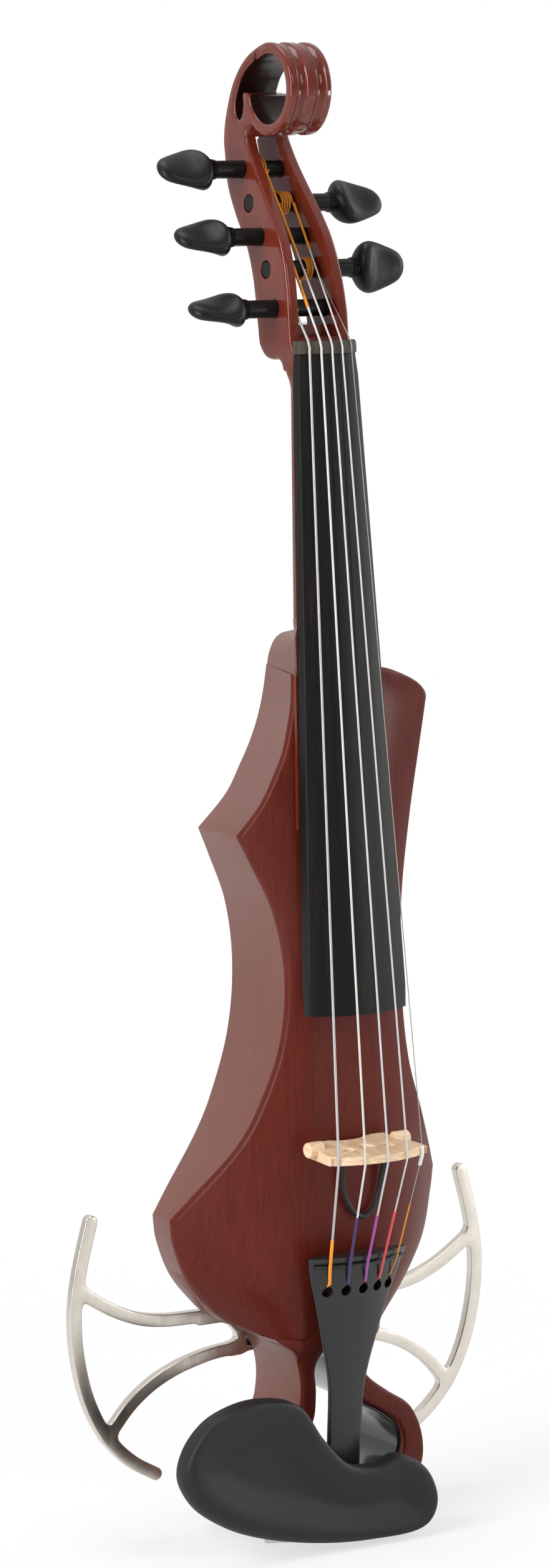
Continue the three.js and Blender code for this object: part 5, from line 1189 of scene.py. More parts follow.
def head_half(z):
    share = (z - STRING_LENGTH) / HEAD_HEIGHT
    rows = HEAD_WIDTH_SHARES
    high = next((i for i, row in enumerate(rows) if row[0] >= share and i > 0), len(rows) - 1)
    (z0, half0), (z1, half1) = rows[high - 1], rows[high]
    return HEAD_WIDTH * mix(half0, half1, clamp((share - z0) / (z1 - z0)))


def flute(across):
    """A cutter that runs along the back of the head and round the ring."""
    lift = FLUTE_RADIUS - FLUTE_DEPTH
    back = smooth_flat([head_point(p) for p in HEAD_BACK_SHARES[:7]])[::-1]
    path = back[:-1] + turn_points(SCROLL_RADIUS, RING_TURN_SHARES, count=70)[::-1]
    points = []
    for i, (y, z) in enumerate(path):
        before, after = path[max(i - 1, 0)], path[min(i + 1, len(path) - 1)]
        dy, dz = after[0] - before[0], after[1] - before[1]
        length = math.hypot(dy, dz)
        points.append((across, y + dz / length * lift, z - dy / length * lift))
    return tube(points, FLUTE_RADIUS, sides=20)


def slot_shape(floor_share, ceiling_share, back, inset=0.0):
    """The room between the pegbox walls, from the front back to a depth."""
    shares = spread(floor_share, ceiling_share, steps=12)
    heights = [STRING_LENGTH + HEAD_HEIGHT * share for share in shares]
    side = [(head_half(z) - PEGBOX_WALL - inset, z) for z in heights]
    return prism(side + [(-x, z) for x, z in reversed(side)], -HEAD_DEPTH, back)


SLOT_EDGE_ANGLE = math.radians(50)


def round_slot(head):
    """Rounds the front edges of the slot."""
    box = bmesh.new()
    box.from_mesh(head.data)
    edges = []
    for edge in box.edges:
        if len(edge.link_faces) != 2 or edge.calc_face_angle() < SLOT_EDGE_ANGLE:
            continue
        middle = (edge.verts[0].co + edge.verts[1].co) / 2 / MM
        share = (middle.z - STRING_LENGTH) / HEAD_HEIGHT
        at_wall = abs(abs(middle.x) - head_half(middle.z) + PEGBOX_WALL) < GAP
        forward = min(face.normal.y for face in edge.link_faces) < -LEANING
        if at_wall and PEGBOX_FLOOR_SHARE < share < PEGBOX_CEILING_SHARE and forward:
            edges.append(edge)
    bead = {"offset": SLOT_BEAD * MM, "segments": 4, "profile": 0.5, "clamp_overlap": True}
    bmesh.ops.bevel(box, geom=edges, affect="EDGES", **bead)
    box.to_mesh(head.data)
    box.free()


def build_head():
    outer = smooth_flat([head_point(p) for p in PEGBOX_FRONT_SHARES])
    outer += turn_points(SCROLL_RADIUS, RING_TURN_SHARES, count=80)
    outer += smooth_flat([head_point(p) for p in HEAD_BACK_SHARES])
    outer = [(min(y, cad_high.y / MM), min(z, cad_high.z / MM)) for y, z in outer]
    outer.append((head_base + GAP, STRING_LENGTH - NUT_THICKNESS))
    eye = turn_points(SCROLL_EYE_RADIUS, EYE_TURN_SHARES, count=70)
    eye += smooth_flat([head_point(p) for p in ARCH_INNER_SHARES])
    head = solid(
        sheet(
            [outer, eye],
            lambda u, w, distance: -head_half(w),
            lambda u, w, distance: head_half(w),
            HEAD_EDGE,
            spacing=2.5,
            place=seen_side,
        )
    )
    cut(head, slot_shape(PEGBOX_FLOOR_SHARE, PEGBOX_CEILING_SHARE, HEAD_DEPTH))
    round_slot(head)
    pocket_back = head_base + POCKET_DEPTH
    cut(head, slot_shape(POCKET_FLOOR_SHARE, 2 * PEGBOX_FLOOR_SHARE, pocket_back, SEAM))
    bore = PEG_RADIUS + GAP / 2
    places = peg_places.values()
    cut(head, *[rod(bore, (-HEAD_WIDTH, y, z), (HEAD_WIDTH, y, z), sides=32) for y, z in places])
    return cut(head, flute(-FLUTE_SPACING / 2), flute(FLUTE_SPACING / 2))


def paint_eye_shade_and_heel_sheen(head):
    """Gives the inside of the scroll's ring a painted shade, and the heel the sides' stain with
    its painted sheen.
    """
    head.data.materials.append(SHADED_EYE_WOOD)
    head.data.materials.append(SIDE_WOOD_AND_SHEEN)
    for face in head.data.polygons:
        y, z = face.center.y / MM, face.center.z / MM
        away = Vector((0, scroll_centre[0] - y, scroll_centre[1] - z))
        inward_facing = away.dot(face.normal) > LEANING * away.length
        inward_facing = inward_facing and abs(face.normal.x) < FACING
        # Faces high in the head that face the ring's centre get the painted shade.
        if z > STRING_LENGTH + EYE_SHADE_SHARE * HEAD_HEIGHT and inward_facing:
            face.material_index = 1
        # The heel gets the sides' stain with its painted sheen.
        elif BODY_TOP < z < HEEL_TOP:
            face.material_index = 2


BOARD_LEVELS = 30
BOARD_BACK_SHARES = (1, 0.8, 0.4, 0, -0.4, -0.8, -1)
BOARD_SCOOP_START = 4


def build_board():
    rings = []
    round_off = EDGE / 2
    for i, z in enumerate(spread(STRING_LENGTH, STRING_LENGTH - BOARD_LENGTH, BOARD_LEVELS)):
        half = board_half(z)
        crown, back = board_crown(z), board_back(z)
        inset = EDGE / 3 if i in (0, BOARD_LEVELS) else 0
        top = lambda x: crown + arc_drop(x, BOARD_RADIUS)
        ring = [(x, y + inset) for x, y in crowned(-half, half, top, round_off, 3, 28)]
        free = BOARD_SCOOP * ease((NECK_FOOT_END - z) / BOARD_SCOOP_START)
        for across in BOARD_BACK_SHARES:
            ring.append((half * across, back - free * (1 - across * across) - inset))
        rings.append([(x * (1 - inset / half), y, z) for x, y in ring])
    piece(loft(rings), "board", BOARD_WOOD, ["fingerboard"])


string_rise_at_nut = STRING_OVER_BOARD - board_crown(STRING_LENGTH)
string_rise_at_bridge = BODY_DEPTH + STRING_OVER_BODY

# The nut's rounding: shares of its thickness, and the fall of its top in millimetres.
NUT_ROUNDING = [(0, 0), (0.45, 0), (0.7, 0.18), (0.88, 0.5), (1, EDGE)]


def build_nut():
    low = STRING_LENGTH + GAP / 4
    half = BOARD_NUT_WIDTH / 2
    crown = string_rise_at_nut - STRING_RADII["c"] - GAP / 2
    back = head_point(PEGBOX_FRONT_SHARES[0])[0] - GAP / 4
    rings = []
    for rise, fall in NUT_ROUNDING:
        top = lambda x: -crown + fall + arc_drop(x, BOARD_RADIUS)
        ring = crowned(-half, half, top, EDGE, 4, 24) + [(half, back), (-half, back)]
        rings.append([(x, y, low + NUT_THICKNESS * rise) for x, y in ring])
    piece(loft(rings), "string_nut", NUT_WOOD, ["nut"])


# Pegs: side -1 has its head on the left. Places as shares of HEAD_DEPTH and HEAD_HEIGHT.
PEGS = {
    "c": {"at": (0.225, 0.143), "side": -1, "turn": 1.2, "loops": 2},
    "g": {"at": (0.445, 0.374), "side": -1, "turn": 1.05, "loops": 2},
    "d": {"at": (0.72, 0.592), "side": -1, "turn": 0.85, "loops": 2},
    "a": {"at": (0.608, 0.481), "side": 1, "turn": 0.7, "loops": 5},
    "e": {"at": (0.353, 0.268), "side": 1, "turn": 0, "loops": 4},
}
peg_places = {name: head_point(peg["at"]) for name, peg in PEGS.items()}
# Head profile: shares of the head's length, width and thickness, and how deep the
# thumb hollow is.
peg_head = smooth_rows(
    [
        (1, 0.04, 0.04, 0), (0.985, 0.24, 0.2, 0), (0.95, 0.39, 0.32, 0),
        (0.88, 0.55, 0.44, 0.02), (0.76, 0.69, 0.5, 0.06), (0.62, 0.81, 0.53, 0.14),
        (0.48, 0.92, 0.6, 0.2), (0.34, 1, 0.76, 0.2), (0.23, 0.99, 0.94, 0.1),
        (0.13, 0.86, 1, 0.03), (0.06, 0.64, 0.86, 0), (0.02, 0.44, 0.66, 0), (0, 0.36, 0.56, 0),
    ]
)

PEG_RING_SHARES = [(0.83, 0.87, 0.03), (0.92, 0.99, 0.1), (0.92, 0.99, 0.22), (0.83, 0.87, 0.29)]
PEG_COLLAR_END_SHARES = [(0.8, 0), (0.72, 0.5)]
PEG_LEVELS, PEG_SIDES = 40, 48
FRAY_RADIUS_SHARE = 0.35


def peg_shape(name):
    side, turn = PEGS[name]["side"], PEGS[name]["turn"]
    y, z = peg_places[name]
    wall = head_half(z)
    shoulder = wall + PEG_SHANK
    ring, collar = PEG_COLLAR_RADIUS, PEG_COLLAR_LENGTH
    profile = [(PEG_TIP_RADIUS - GAP, -wall), (PEG_TIP_RADIUS, -wall + GAP), (PEG_RADIUS, wall)]
    profile.append((PEG_RADIUS, shoulder - collar))
    for n in range(3):
        low = shoulder - collar + collar * n / 3
        for start, end, rise in PEG_RING_SHARES:
            profile.append((ring * mix(start, end, n / 2), low + collar * rise))
    profile += [(ring * wide, shoulder + collar * up) for wide, up in PEG_COLLAR_END_SHARES]
    shaft = turned(profile, (side, 0, 0), (0, y, z))
    rings = []
    for share in spread(0, 1, PEG_LEVELS):
        along = ease(share) * 0.5 + share / 2
        wide, thick, hollow = peg_head(along)
        x = side * (shoulder + along * PEG_HEAD_LENGTH)
        points = []
        for angle in full_turn(PEG_SIDES):
            across = math.cos(angle) * wide * PEG_HEAD_WIDTH / 2
            dip = 1 - hollow * abs(math.sin(angle)) ** 3
            deep = math.sin(angle) * thick * dip * PEG_HEAD_THICKNESS / 2
            back = y + across * math.sin(turn) + deep * math.cos(turn)
            points.append((x, back, z + across * math.cos(turn) - deep * math.sin(turn)))
        rings.append(points)
    return merged(shaft, loft(rings))


def winding_path(name):
    side, loops = PEGS[name]["side"], PEGS[name]["loops"]
    y, z = peg_places[name]
    radius = PEG_RADIUS + GAP + WIND_RADIUS
    outside = head_half(z) - PEGBOX_WALL - EDGE - WIND_RADIUS - WIND_INSET[name]
    path = []
    for i in range(loops * WIND_STEPS + 1):
        angle = math.pi + 2 * math.pi * i / WIND_STEPS
        x = side * (outside - i / WIND_STEPS * WIND_PITCH)
        path.append((x, y + radius * math.cos(angle), z - radius * math.sin(angle)))
    return path


# The loose end of the A string: three short threads, from the place where they start.
FRAY = [
    [(0, 0, 0), (-0.4, -1.2, 0.8), (-0.6, -1.6, 2.6), (-1.6, -1.8, 4.6)],
    [(0, 0, 0), (-0.2, -1.2, 1), (-0.2, -2, 3), (0.4, -2.4, 5.4)],
    [(0, 0, 0), (-0.8, -1, 0.6), (-1.6, -1.4, 1.8), (-3, -1.4, 3)],
]


def build_pegs():
    for name in STRING_NAMES:
        body = "peg_" + name
        piece(peg_shape(name), "tuning_peg_" + name, PEG_BLACK, [body], body)
        path = winding_path(name)
        shapes = [tube(path, WIND_RADIUS, sides=12)]
        if name == "a":
            end = Vector(path[-WIND_STEPS // 4])
            for thread in FRAY:
                points = smooth_line([end + Vector(p) for p in thread], 6)
                shapes.append(tube(points, WIND_RADIUS * FRAY_RADIUS_SHARE, sides=8))
        nodes = ["peg_winding_" + name]
        piece(merged(*shapes), "wound_end_" + name, PEG_SILK, nodes, body)


# Strings

tail_foot = -LOOP_BOTTOM + SADDLE_THICKNESS + TAIL_CLEARANCE
tailpiece_length = -TAILPIECE_TOP - tail_foot
ridge_z = -(TAILPIECE_TOP + RIDGE_DOWN)
keyhole_z = -(TAILPIECE_TOP + KEYHOLE_DOWN)

TAIL_WIDTH_SHARES = [
    (1, 0), (0.9, 0.18), (0.81, 0.38), (0.66, 0.65), (0.53, 0.87), (0.44, 0.97), (0.3, 1),
    (0, 1),
]
tail_width = smooth_rows(TAIL_WIDTH_SHARES)


def tail_share(z):
    return (-z - TAILPIECE_TOP) / tailpiece_length


def tail_edge(z):
    high, low = BODY_DEPTH + TAILPIECE_OVER_BODY, LOOP_DEPTH + TAILPIECE_OVER_LOOP
    return -mix(high, low, clamp(tail_share(z)) ** TAILPIECE_FALL_POWER)


def tail_half(z):
    (lost,) = tail_width(1 - tail_share(z))
    return mix(TAILPIECE_WIDTH, TAILPIECE_NECK_WIDTH, lost) / 2


def tail_front(x, z):
    edge_drop = arc_drop(tail_half(z), TAILPIECE_ARCH_RADIUS)
    return tail_edge(z) - (edge_drop - arc_drop(x, TAILPIECE_ARCH_RADIUS))


def string_points(name):
    """The string's path: tailpiece hole, ridge, bridge, nut and peg."""
    index, radius = STRING_NAMES.index(name), STRING_RADII[name]
    spreads = (TAIL_SPREAD, BRIDGE_SPREAD, NUT_SPREAD)
    tail_x, bridge_x, nut_x = [string_across(width, index) for width in spreads]
    dive_x = tail_x + KEYHOLE_SHIFTS[name]
    dive_z = keyhole_z + KEYHOLE_DIVE
    dive_y = tail_front(dive_x, dive_z)
    ridge_y = tail_front(tail_x, ridge_z) - RIDGE_HEIGHT - GAP - radius
    bridge_y = -string_rise_at_bridge + arc_drop(bridge_x, BRIDGE_CROWN_RADIUS)
    nut_y = -string_rise_at_nut + arc_drop(nut_x, BOARD_RADIUS)
    points = [
        (dive_x, dive_y + TAILPIECE_SIDE / 2, dive_z - EDGE / 2),
        (dive_x, dive_y - radius, dive_z + EDGE / 2),
        (tail_x, ridge_y, ridge_z),
        (bridge_x, bridge_y, -BRIDGE_CROWN_THICKNESS / 2),
        (bridge_x, bridge_y, BRIDGE_CROWN_THICKNESS / 2),
        (nut_x, nut_y, STRING_LENGTH + GAP),
        (nut_x, nut_y, STRING_LENGTH + NUT_THICKNESS / 2),
        (nut_x, nut_y + EDGE, STRING_LENGTH + NUT_THICKNESS + GAP),
        Vector(winding_path(name)[0]) - Vector((0, WIND_RADIUS + radius + GAP, 0)),
    ]
    return [Vector(p) for p in points]


# How far the coloured silk reaches: from the tailpiece towards the bridge, and from
# the peg towards the nut, as shares of those stretches.
SILK_TAIL_SHARES = {"c": 0.27, "g": 0.48, "d": 0.48, "a": 0.49, "e": 0.52}
SILK_PEG_SHARES = {"c": 0, "g": 0.68, "d": 0.5, "a": 0.34, "e": 0}
SILK_EXTRA = 0.14
STRING_SIDES = 16


def build_strings():
    for name in STRING_NAMES:
        points, radius = string_points(name), STRING_RADII[name]
        wire = tube(points, radius, STRING_SIDES)
        piece(wire, "wire_" + name, STRING_LOOKS[name], ["string_" + name])
        stop = points[2].lerp(points[3], SILK_TAIL_SHARES[name])
        reach = radius + SILK_EXTRA
        path = [*points[:3], stop, stop + (stop - points[2]).normalized() * GAP]
        silk = tube(path, [reach, reach, reach, reach, radius], STRING_SIDES)
        piece(silk, "tail_silk_" + name, TAIL_SILKS[name])
        if SILK_PEG_SHARES[name]:
            start = points[8].lerp(points[7], SILK_PEG_SHARES[name])
            tip = start + (start - points[8]).normalized() * GAP
            silk = tube([tip, start, points[8]], [radius, reach, reach], STRING_SIDES)
            piece(silk, "peg_silk_" + name, PEG_SILK)


# Bridge and pickups

bridge_foot = -BODY_DEPTH - GAP / 4
BRIDGE_HALF_SHARES = [
    (0.38, 0), (0.8, 0), (0.82, 0.05), (0.82, 0.12), (0.86, 0.25), (0.9, 0.4), (0.96, 0.64),
    (1, 0.82),
]
BRIDGE_ARCH_SHARES = [(-0.38, 0), (-0.26, 0.08), (0, 0.11), (0.26, 0.08), (0.38, 0)]
BRIDGE_HEART_SHARES = [
    (0, 0.36), (0.12, 0.45), (0.15, 0.53), (0.08, 0.58), (0, 0.54), (-0.08, 0.58), (-0.15, 0.53),
    (-0.12, 0.45),
]

# Round holes beside the heart: shares of half the width and of the height.
BRIDGE_HOLE_ACROSS, BRIDGE_HOLE_UP, BRIDGE_HOLE_RADIUS = 0.42, 0.56, 0.12
BRIDGE_CROWN_SHARE = 0.985
BRIDGE_EDGE = 0.35
DOWEL_EDGE = 0.5


def bridge_top(x):
    return -string_rise_at_bridge + STRING_RADII["c"] + GAP / 2 + arc_drop(x, BRIDGE_CROWN_RADIUS)


def build_bridge():
    half = BRIDGE_CROWN_WIDTH / 2
    height = bridge_foot - bridge_top(0)

    def at(shares):
        return (shares[0] * half, bridge_foot - shares[1] * height)

    def thick(w):
        share = clamp((bridge_foot - w) / height)
        return mix(BRIDGE_BASE_THICKNESS, BRIDGE_CROWN_THICKNESS, share) / 2

    right = [at(p) for p in BRIDGE_HALF_SHARES]
    left = [(-x, y) for x, y in reversed(right)]
    crown_shares = spread(BRIDGE_CROWN_SHARE, -BRIDGE_CROWN_SHARE, steps=24)
    crown = [(share * half, bridge_top(share * half)) for share in crown_shares]
    arch = smooth_flat([at(p) for p in BRIDGE_ARCH_SHARES])
    outer = smooth_flat(right, 3) + crown + smooth_flat(left, 3) + arch
    loops = [outer, smooth_flat([at(p) for p in BRIDGE_HEART_SHARES], closed=True)]
    radius = half * BRIDGE_HOLE_RADIUS
    for side in (-1, 1):
        u, w = side * half * BRIDGE_HOLE_ACROSS, bridge_foot - BRIDGE_HOLE_UP * height
        turns = full_turn(28)
        loops.append([(u + radius * math.cos(t), w + radius * math.sin(t)) for t in turns])
    slab = sheet(
        loops,
        lambda u, w, distance: -thick(w),
        lambda u, w, distance: thick(w),
        BRIDGE_EDGE,
        spacing=1.6,
        place=seen_along,
    )
    slab = cut(solid(slab), *[pickup_rod(side, GAP / 3) for side in (-1, 1)])
    piece(slab, "bridge_blank", MAPLE, ["bridge"], sharp=45)
    for side, node in ((-1, "pickup_bass"), (1, "pickup_treble")):
        piece(pickup_rod(side, 0), node + "_dowel", MAPLE, [node])


def pickup_rod(side, grow):
    """A pickup dowel across in a wing of the bridge, grown by a clearance for its seat."""
    outer = BRIDGE_CROWN_WIDTH / 2 + PICKUP_OUT + grow
    y = bridge_foot - PICKUP_RISE
    inner = (side * (outer - PICKUP_LENGTH - 2 * grow), y, PICKUP_FORWARD)
    end = (side * outer, y, PICKUP_FORWARD)
    return rod(PICKUP_RADIUS + grow, inner, end, 48, DOWEL_EDGE)


# The pickup lead, from the treble pickup in a loop to its hole behind the bridge: shares
# of half the bridge's width across, of LEAD_RISE over the body and of LEAD_DROP up.
LEAD_SHARES = [
    (0.74, 0.95, -0.1), (0.719, 0.733, -0.247), (0.706, 0.533, -0.386), (0.689, 0.417, -0.525),
    (0.651, 0.35, -0.664), (0.579, 0.333, -0.802), (0.447, 0.333, -0.914),
    (0.306, 0.333, -0.951), (0.166, 0.333, -0.904), (0.043, 0.333, -0.79), (-0.06, 0.35, -0.633),
    (-0.1, 0.383, -0.448), (-0.096, 0.383, -0.3), (-0.081, 0.25, -0.21), (-0.077, 0, -0.17),
    (-0.077, -0.667, -0.16), (-0.077, -1.667, -0.16),
]
LEAD_BRANCH_SHARES = [
    (0.84, 0.95, -0.1), (0.81, 0.733, -0.26), (0.77, 0.54, -0.42), (0.715, 0.42, -0.56),
    (0.651, 0.35, -0.664),
]

LEAD_BRANCH_RADIUS_SHARE = 0.8


def lead_point(shares):
    across, rise, up = shares
    x = across * BRIDGE_CROWN_WIDTH / 2
    return Vector((x, -BODY_DEPTH - rise * LEAD_RISE, up * LEAD_DROP))


def build_lead():
    tables = (LEAD_SHARES, LEAD_BRANCH_SHARES)
    path, branch = [smooth_line([lead_point(p) for p in rows], 8) for rows in tables]
    thin = tube(branch, LEAD_RADIUS * LEAD_BRANCH_RADIUS_SHARE, sides=16)
    shape = merged(tube(path, LEAD_RADIUS, sides=16), thin)
    piece(shape, "lead", CABLE_BLACK, ["pickup_lead"])


# The sleeve's shares below and above the bridge, and its soft ends.
SLEEVE_BELOW, SLEEVE_ABOVE = 0.9, 0.1
SLEEVE_END_LENGTH, SLEEVE_END_RADIUS = 0.08, 0.8


def build_sleeve():
    points = string_points("e")
    low = points[3] + (points[2] - points[3]).normalized() * SLEEVE_LENGTH * SLEEVE_BELOW
    high = points[4] + (points[5] - points[4]).normalized() * SLEEVE_LENGTH * SLEEVE_ABOVE
    start = low.lerp(points[3], SLEEVE_END_LENGTH)
    end = points[4].lerp(high, 1 - SLEEVE_END_LENGTH)
    path = [low, start, points[3], points[4], end, high]
    soft = SLEEVE_RADIUS * SLEEVE_END_RADIUS
    sleeve = tube(path, [soft] + [SLEEVE_RADIUS] * 4 + [soft], sides=20)
    piece(sleeve, "string_sleeve", WHITE_PLASTIC, ["e_string_sleeve"])


# Tailpiece and tail end

gut_across = BUTTON_NECK_RADIUS + GUT_RADIUS + GAP
TAIL_LEVELS = 70
TAIL_ROUNDING = [(0, 0.6), (0.15, 0.25), (0.5, 0)]
NOTCH_DEPTH, NOTCH_HALF = 0.5, 0.8
RIDGE_ROUNDING = 0.5
SADDLE_ENDS = [(-1, 0.1), (-0.975, 0.03), (-0.93, 0), (0.93, 0), (0.975, 0.03), (1, 0.1)]
# End button: shares of its radius, with heights over its flange in millimetres for the
# face and in EDGE for the head and the neck.
BUTTON_FACE = [(0, 0.1), (0.5, 0)]
BUTTON_HEAD = [(0.8, 0.25), (0.95, 0.8), (1, 1.5), (0.95, 2.3)]
BUTTON_NECK = (3.4, 4.5)


def tail_ring(z, inset):
    half = tail_half(z) - inset
    back = tail_edge(z) + TAILPIECE_SIDE - inset
    ring = crowned(-half, half, lambda x: tail_front(x, z) + inset, EDGE, 4, 30)
    return [(x, y, z) for x, y in ring + [(half - EDGE, back), (-half + EDGE, back)]]


def keyhole(x):
    """A round hole with a slot above it, as an outline."""
    start = math.asin(KEYHOLE_SLOT / 2 / KEYHOLE_RADIUS)
    turns = [math.pi / 2 + start + turn for turn in spread(0, 2 * math.pi - 2 * start, 28)]
    radius, top = KEYHOLE_RADIUS, keyhole_z + KEYHOLE_DOWN / 3
    ring = [(x + radius * math.cos(t), keyhole_z + radius * math.sin(t)) for t in turns]
    return ring + [(x + KEYHOLE_SLOT / 2, top), (x - KEYHOLE_SLOT / 2, top)]


def build_tailpiece():
    levels = [(-TAILPIECE_TOP - EDGE * rise, EDGE * inset) for rise, inset in TAIL_ROUNDING]
    heights = spread(-TAILPIECE_TOP - EDGE / 2, tail_foot + EDGE, TAIL_LEVELS)
    levels += [(z, 0) for z in heights[1:-1]]
    levels += [(tail_foot + EDGE * rise, EDGE * inset) for rise, inset in reversed(TAIL_ROUNDING)]
    strings = [string_across(TAIL_SPREAD, n) for n in range(len(STRING_NAMES))]
    holes = [keyhole(x + KEYHOLE_SHIFTS[name]) for x, name in zip(strings, STRING_NAMES)]
    cutters = [prism(hole, -string_rise_at_bridge, -LOOP_DEPTH) for hole in holes]
    body = cut(solid(loft([tail_ring(*at) for at in levels])), *cutters)
    ridge_rings = []
    reach = RIDGE_WIDTH / 2
    for share in spread(-1, 1, 40):
        x = share * (tail_half(ridge_z) - EDGE)
        dip = NOTCH_DEPTH if min(abs(x - string) for string in strings) < NOTCH_HALF else 0
        top = tail_front(x, ridge_z) - RIDGE_HEIGHT + dip
        low = tail_front(x, ridge_z) + EDGE
        section = [(low, -reach), (top + RIDGE_ROUNDING, -reach), (top, -reach / 2)]
        section += [(y, -rise) for y, rise in reversed(section)]
        ridge_rings.append([(x, y, ridge_z + rise) for y, rise in section])
    joined(body, loft(ridge_rings))
    piece(body, "tail_fan", TAIL_BLACK, ["tailpiece"])


def build_tail_end():
    top = -LOOP_DEPTH - SADDLE_HEIGHT
    low, high = -LOOP_BOTTOM, -LOOP_BOTTOM + SADDLE_THICKNESS
    side = [(-LOOP_DEPTH - GAP / 4, high), (top + EDGE, high)]
    side += rounded_corner((top + EDGE, high), (top, high), (top, high - EDGE), 4)[1:]
    side += rounded_corner((top, low + EDGE), (top, low), (top + EDGE, low), 4)
    side.append((-LOOP_DEPTH - GAP / 4, low))
    middle = ((top - LOOP_DEPTH) / 2, (low + high) / 2)
    rings = []
    for share, inset in SADDLE_ENDS:
        x = share * SADDLE_WIDTH / 2
        rings.append([(x, mix(y, middle[0], inset), mix(z, middle[1], inset)) for y, z in side])
    piece(loft(rings), "saddle", BOARD_WOOD, ["tail_saddle"])

    flange = -LOOP_BOTTOM - BUTTON_LENGTH
    profile = [(BUTTON_RADIUS * share, flange + rise) for share, rise in BUTTON_FACE]
    for share, rise in BUTTON_HEAD:
        profile.append((BUTTON_RADIUS * share, flange + EDGE * rise))
    profile += [
        (BUTTON_NECK_RADIUS + EDGE, flange + EDGE * BUTTON_NECK[0]),
        (BUTTON_NECK_RADIUS, flange + EDGE * BUTTON_NECK[1]),
        (BUTTON_NECK_RADIUS, -LOOP_BOTTOM + BUTTON_LENGTH / 2),
    ]
    button = turned(profile, (0, 0, 1), (0, -BUTTON_RISE, 0), 48)
    piece(button, "tail_button", TAIL_BLACK, ["end_button"])

    over = top - GUT_RADIUS - GAP
    below = -LOOP_BOTTOM - GUT_RADIUS - 2 * GAP
    start = tail_edge(tail_foot) + (TAILPIECE_SIDE - EDGE) / 2
    leg = [
        (start, tail_foot + BUTTON_LENGTH / 2),
        (start, tail_foot - EDGE),
        (over, high + EDGE),
        (over, low + EDGE),
        (over + EDGE, below),
        (-LOOP_DEPTH, below - EDGE / 2),
        (-BUTTON_RISE - gut_across, below - EDGE / 2),
    ]
    path = [(-gut_across, y, z) for y, z in leg]
    for angle in spread(math.pi, 0, 24):
        back = -BUTTON_RISE + gut_across * math.sin(angle)
        path.append((gut_across * math.cos(angle), back, below - EDGE / 2))
    path += [(gut_across, y, z) for y, z in reversed(leg)]
    piece(tube(path, GUT_RADIUS, sides=14), "gut", CABLE_BLACK, ["tail_gut"])


# Chin rest, as shares of CHIN_WIDTH and CHIN_HEIGHT from the middle of the plate.
CHIN_SHARES = [
    (-0.49, 0.08), (-0.468, 0.25), (-0.39, 0.405), (-0.27, 0.485), (-0.16, 0.492),
    (-0.05, 0.435), (0.045, 0.2), (0.15, 0.01), (0.255, -0.03), (0.36, 0.01), (0.455, -0.1),
    (0.497, -0.31), (0.455, -0.45), (0.23, -0.49), (0.01, -0.455), (-0.2, -0.36),
    (-0.33, -0.255), (-0.44, -0.1),
]
# Feet on the loop: shares of LOOP_REACH across, LOOP_BOTTOM down, and of both wide and high.
CHIN_FEET_SHARES = [(-0.862, 0.8875, 0.19, 0.075), (0.574, 0.9625, 0.34, 0.05)]
chin_face = -LOOP_DEPTH - CHIN_OVER_LOOP
CHIN_RIM = 2.2
CHIN_LOW_RIM = 6.5
CHIN_BACK_EDGE = 2.4
CHIN_DISH_REACH = 20
# Where the rim falls away: its direction, start and steepness.
CHIN_FALL_ACROSS, CHIN_FALL_UP = 0.55, 0.62
CHIN_FALL_START = 0.06
CHIN_FALL_STEEPNESS = 4


def chin_edge(u, w):
    """The rim is thin above and falls away thickly at the lower left."""
    away_u, away_w = (u - CHIN_MIDDLE) / CHIN_WIDTH, (w + CHIN_DOWN) / CHIN_HEIGHT
    fall = CHIN_FALL_ACROSS * away_u + CHIN_FALL_UP * away_w + CHIN_FALL_START
    low_left = ease(-fall * CHIN_FALL_STEEPNESS)
    return mix(CHIN_RIM, CHIN_LOW_RIM, low_left)


def chin_front(u, w, distance):
    return chin_face + CHIN_DISH * ease((distance - chin_edge(u, w)) / CHIN_DISH_REACH)


def build_chin_rest():
    middle, low, back = CHIN_MIDDLE, -CHIN_DOWN, chin_face + CHIN_THICKNESS
    outline = [(middle + u * CHIN_WIDTH, low + w * CHIN_HEIGHT) for u, w in CHIN_SHARES]
    loops = [smooth_flat(outline, 9, closed=True)]
    plate = sheet(loops, chin_front, lambda *at: back, chin_edge, 2, seen_front, CHIN_BACK_EDGE)
    shapes = [plate]
    foot = -LOOP_DEPTH - CORK_THICKNESS - 2 * GAP
    for across, down, wide_share, high_share in CHIN_FEET_SHARES:
        x, z = across * LOOP_REACH, -down * LOOP_BOTTOM
        wide, high = wide_share * LOOP_REACH / 2, high_share * LOOP_BOTTOM / 2
        shapes.append(block(x - wide, x + wide, back - EDGE, foot, z - high, z + high))
    piece(merged(*shapes), "chin_plate", CHIN_GREY, ["chin_rest"])


# Side frames: shares of FRAME_RADIUS from the rim's centre, towards the body and up.
UPPER_BAR_SHARES = [
    (-0.9, 0.2), (-0.799, 0.132), (-0.687, 0.067), (-0.537, 0.008), (-0.386, -0.019),
    (-0.252, -0.026), (-0.099, -0.025), (0.06, 0), (0.2, 0),
]
LOWER_BAR_SHARES = [
    (-0.738, -0.618), (-0.608, -0.475), (-0.475, -0.378), (-0.331, -0.312), (-0.197, -0.274),
    (-0.062, -0.249), (0.1, -0.24),
]
RIM_SHARES = [
    (-0.846, 0.596), (-0.9, 0.4), (-0.933, 0.247), (-0.951, 0.1), (-0.949, -0.05),
    (-0.926, -0.218), (-0.877, -0.4), (-0.795, -0.575), (-0.705, -0.695), (-0.59, -0.8),
    (-0.45, -0.885),
]
ROOT_SHARES = [
    (-0.16, -0.03), (-0.022, -0.059), (0.052, -0.097), (0.12, -0.122), (0.12, 0.03),
    (0.27, 0.03), (0.27, -0.27), (0.05, -0.262), (0.05, -0.22), (0.075, -0.207), (0.086, -0.183),
    (0.075, -0.145), (0.035, -0.1), (-0.022, -0.078), (-0.16, -0.07),
]
FRAME_SCREW_SHARES = [(0.19, -0.035), (0.19, -0.2)]

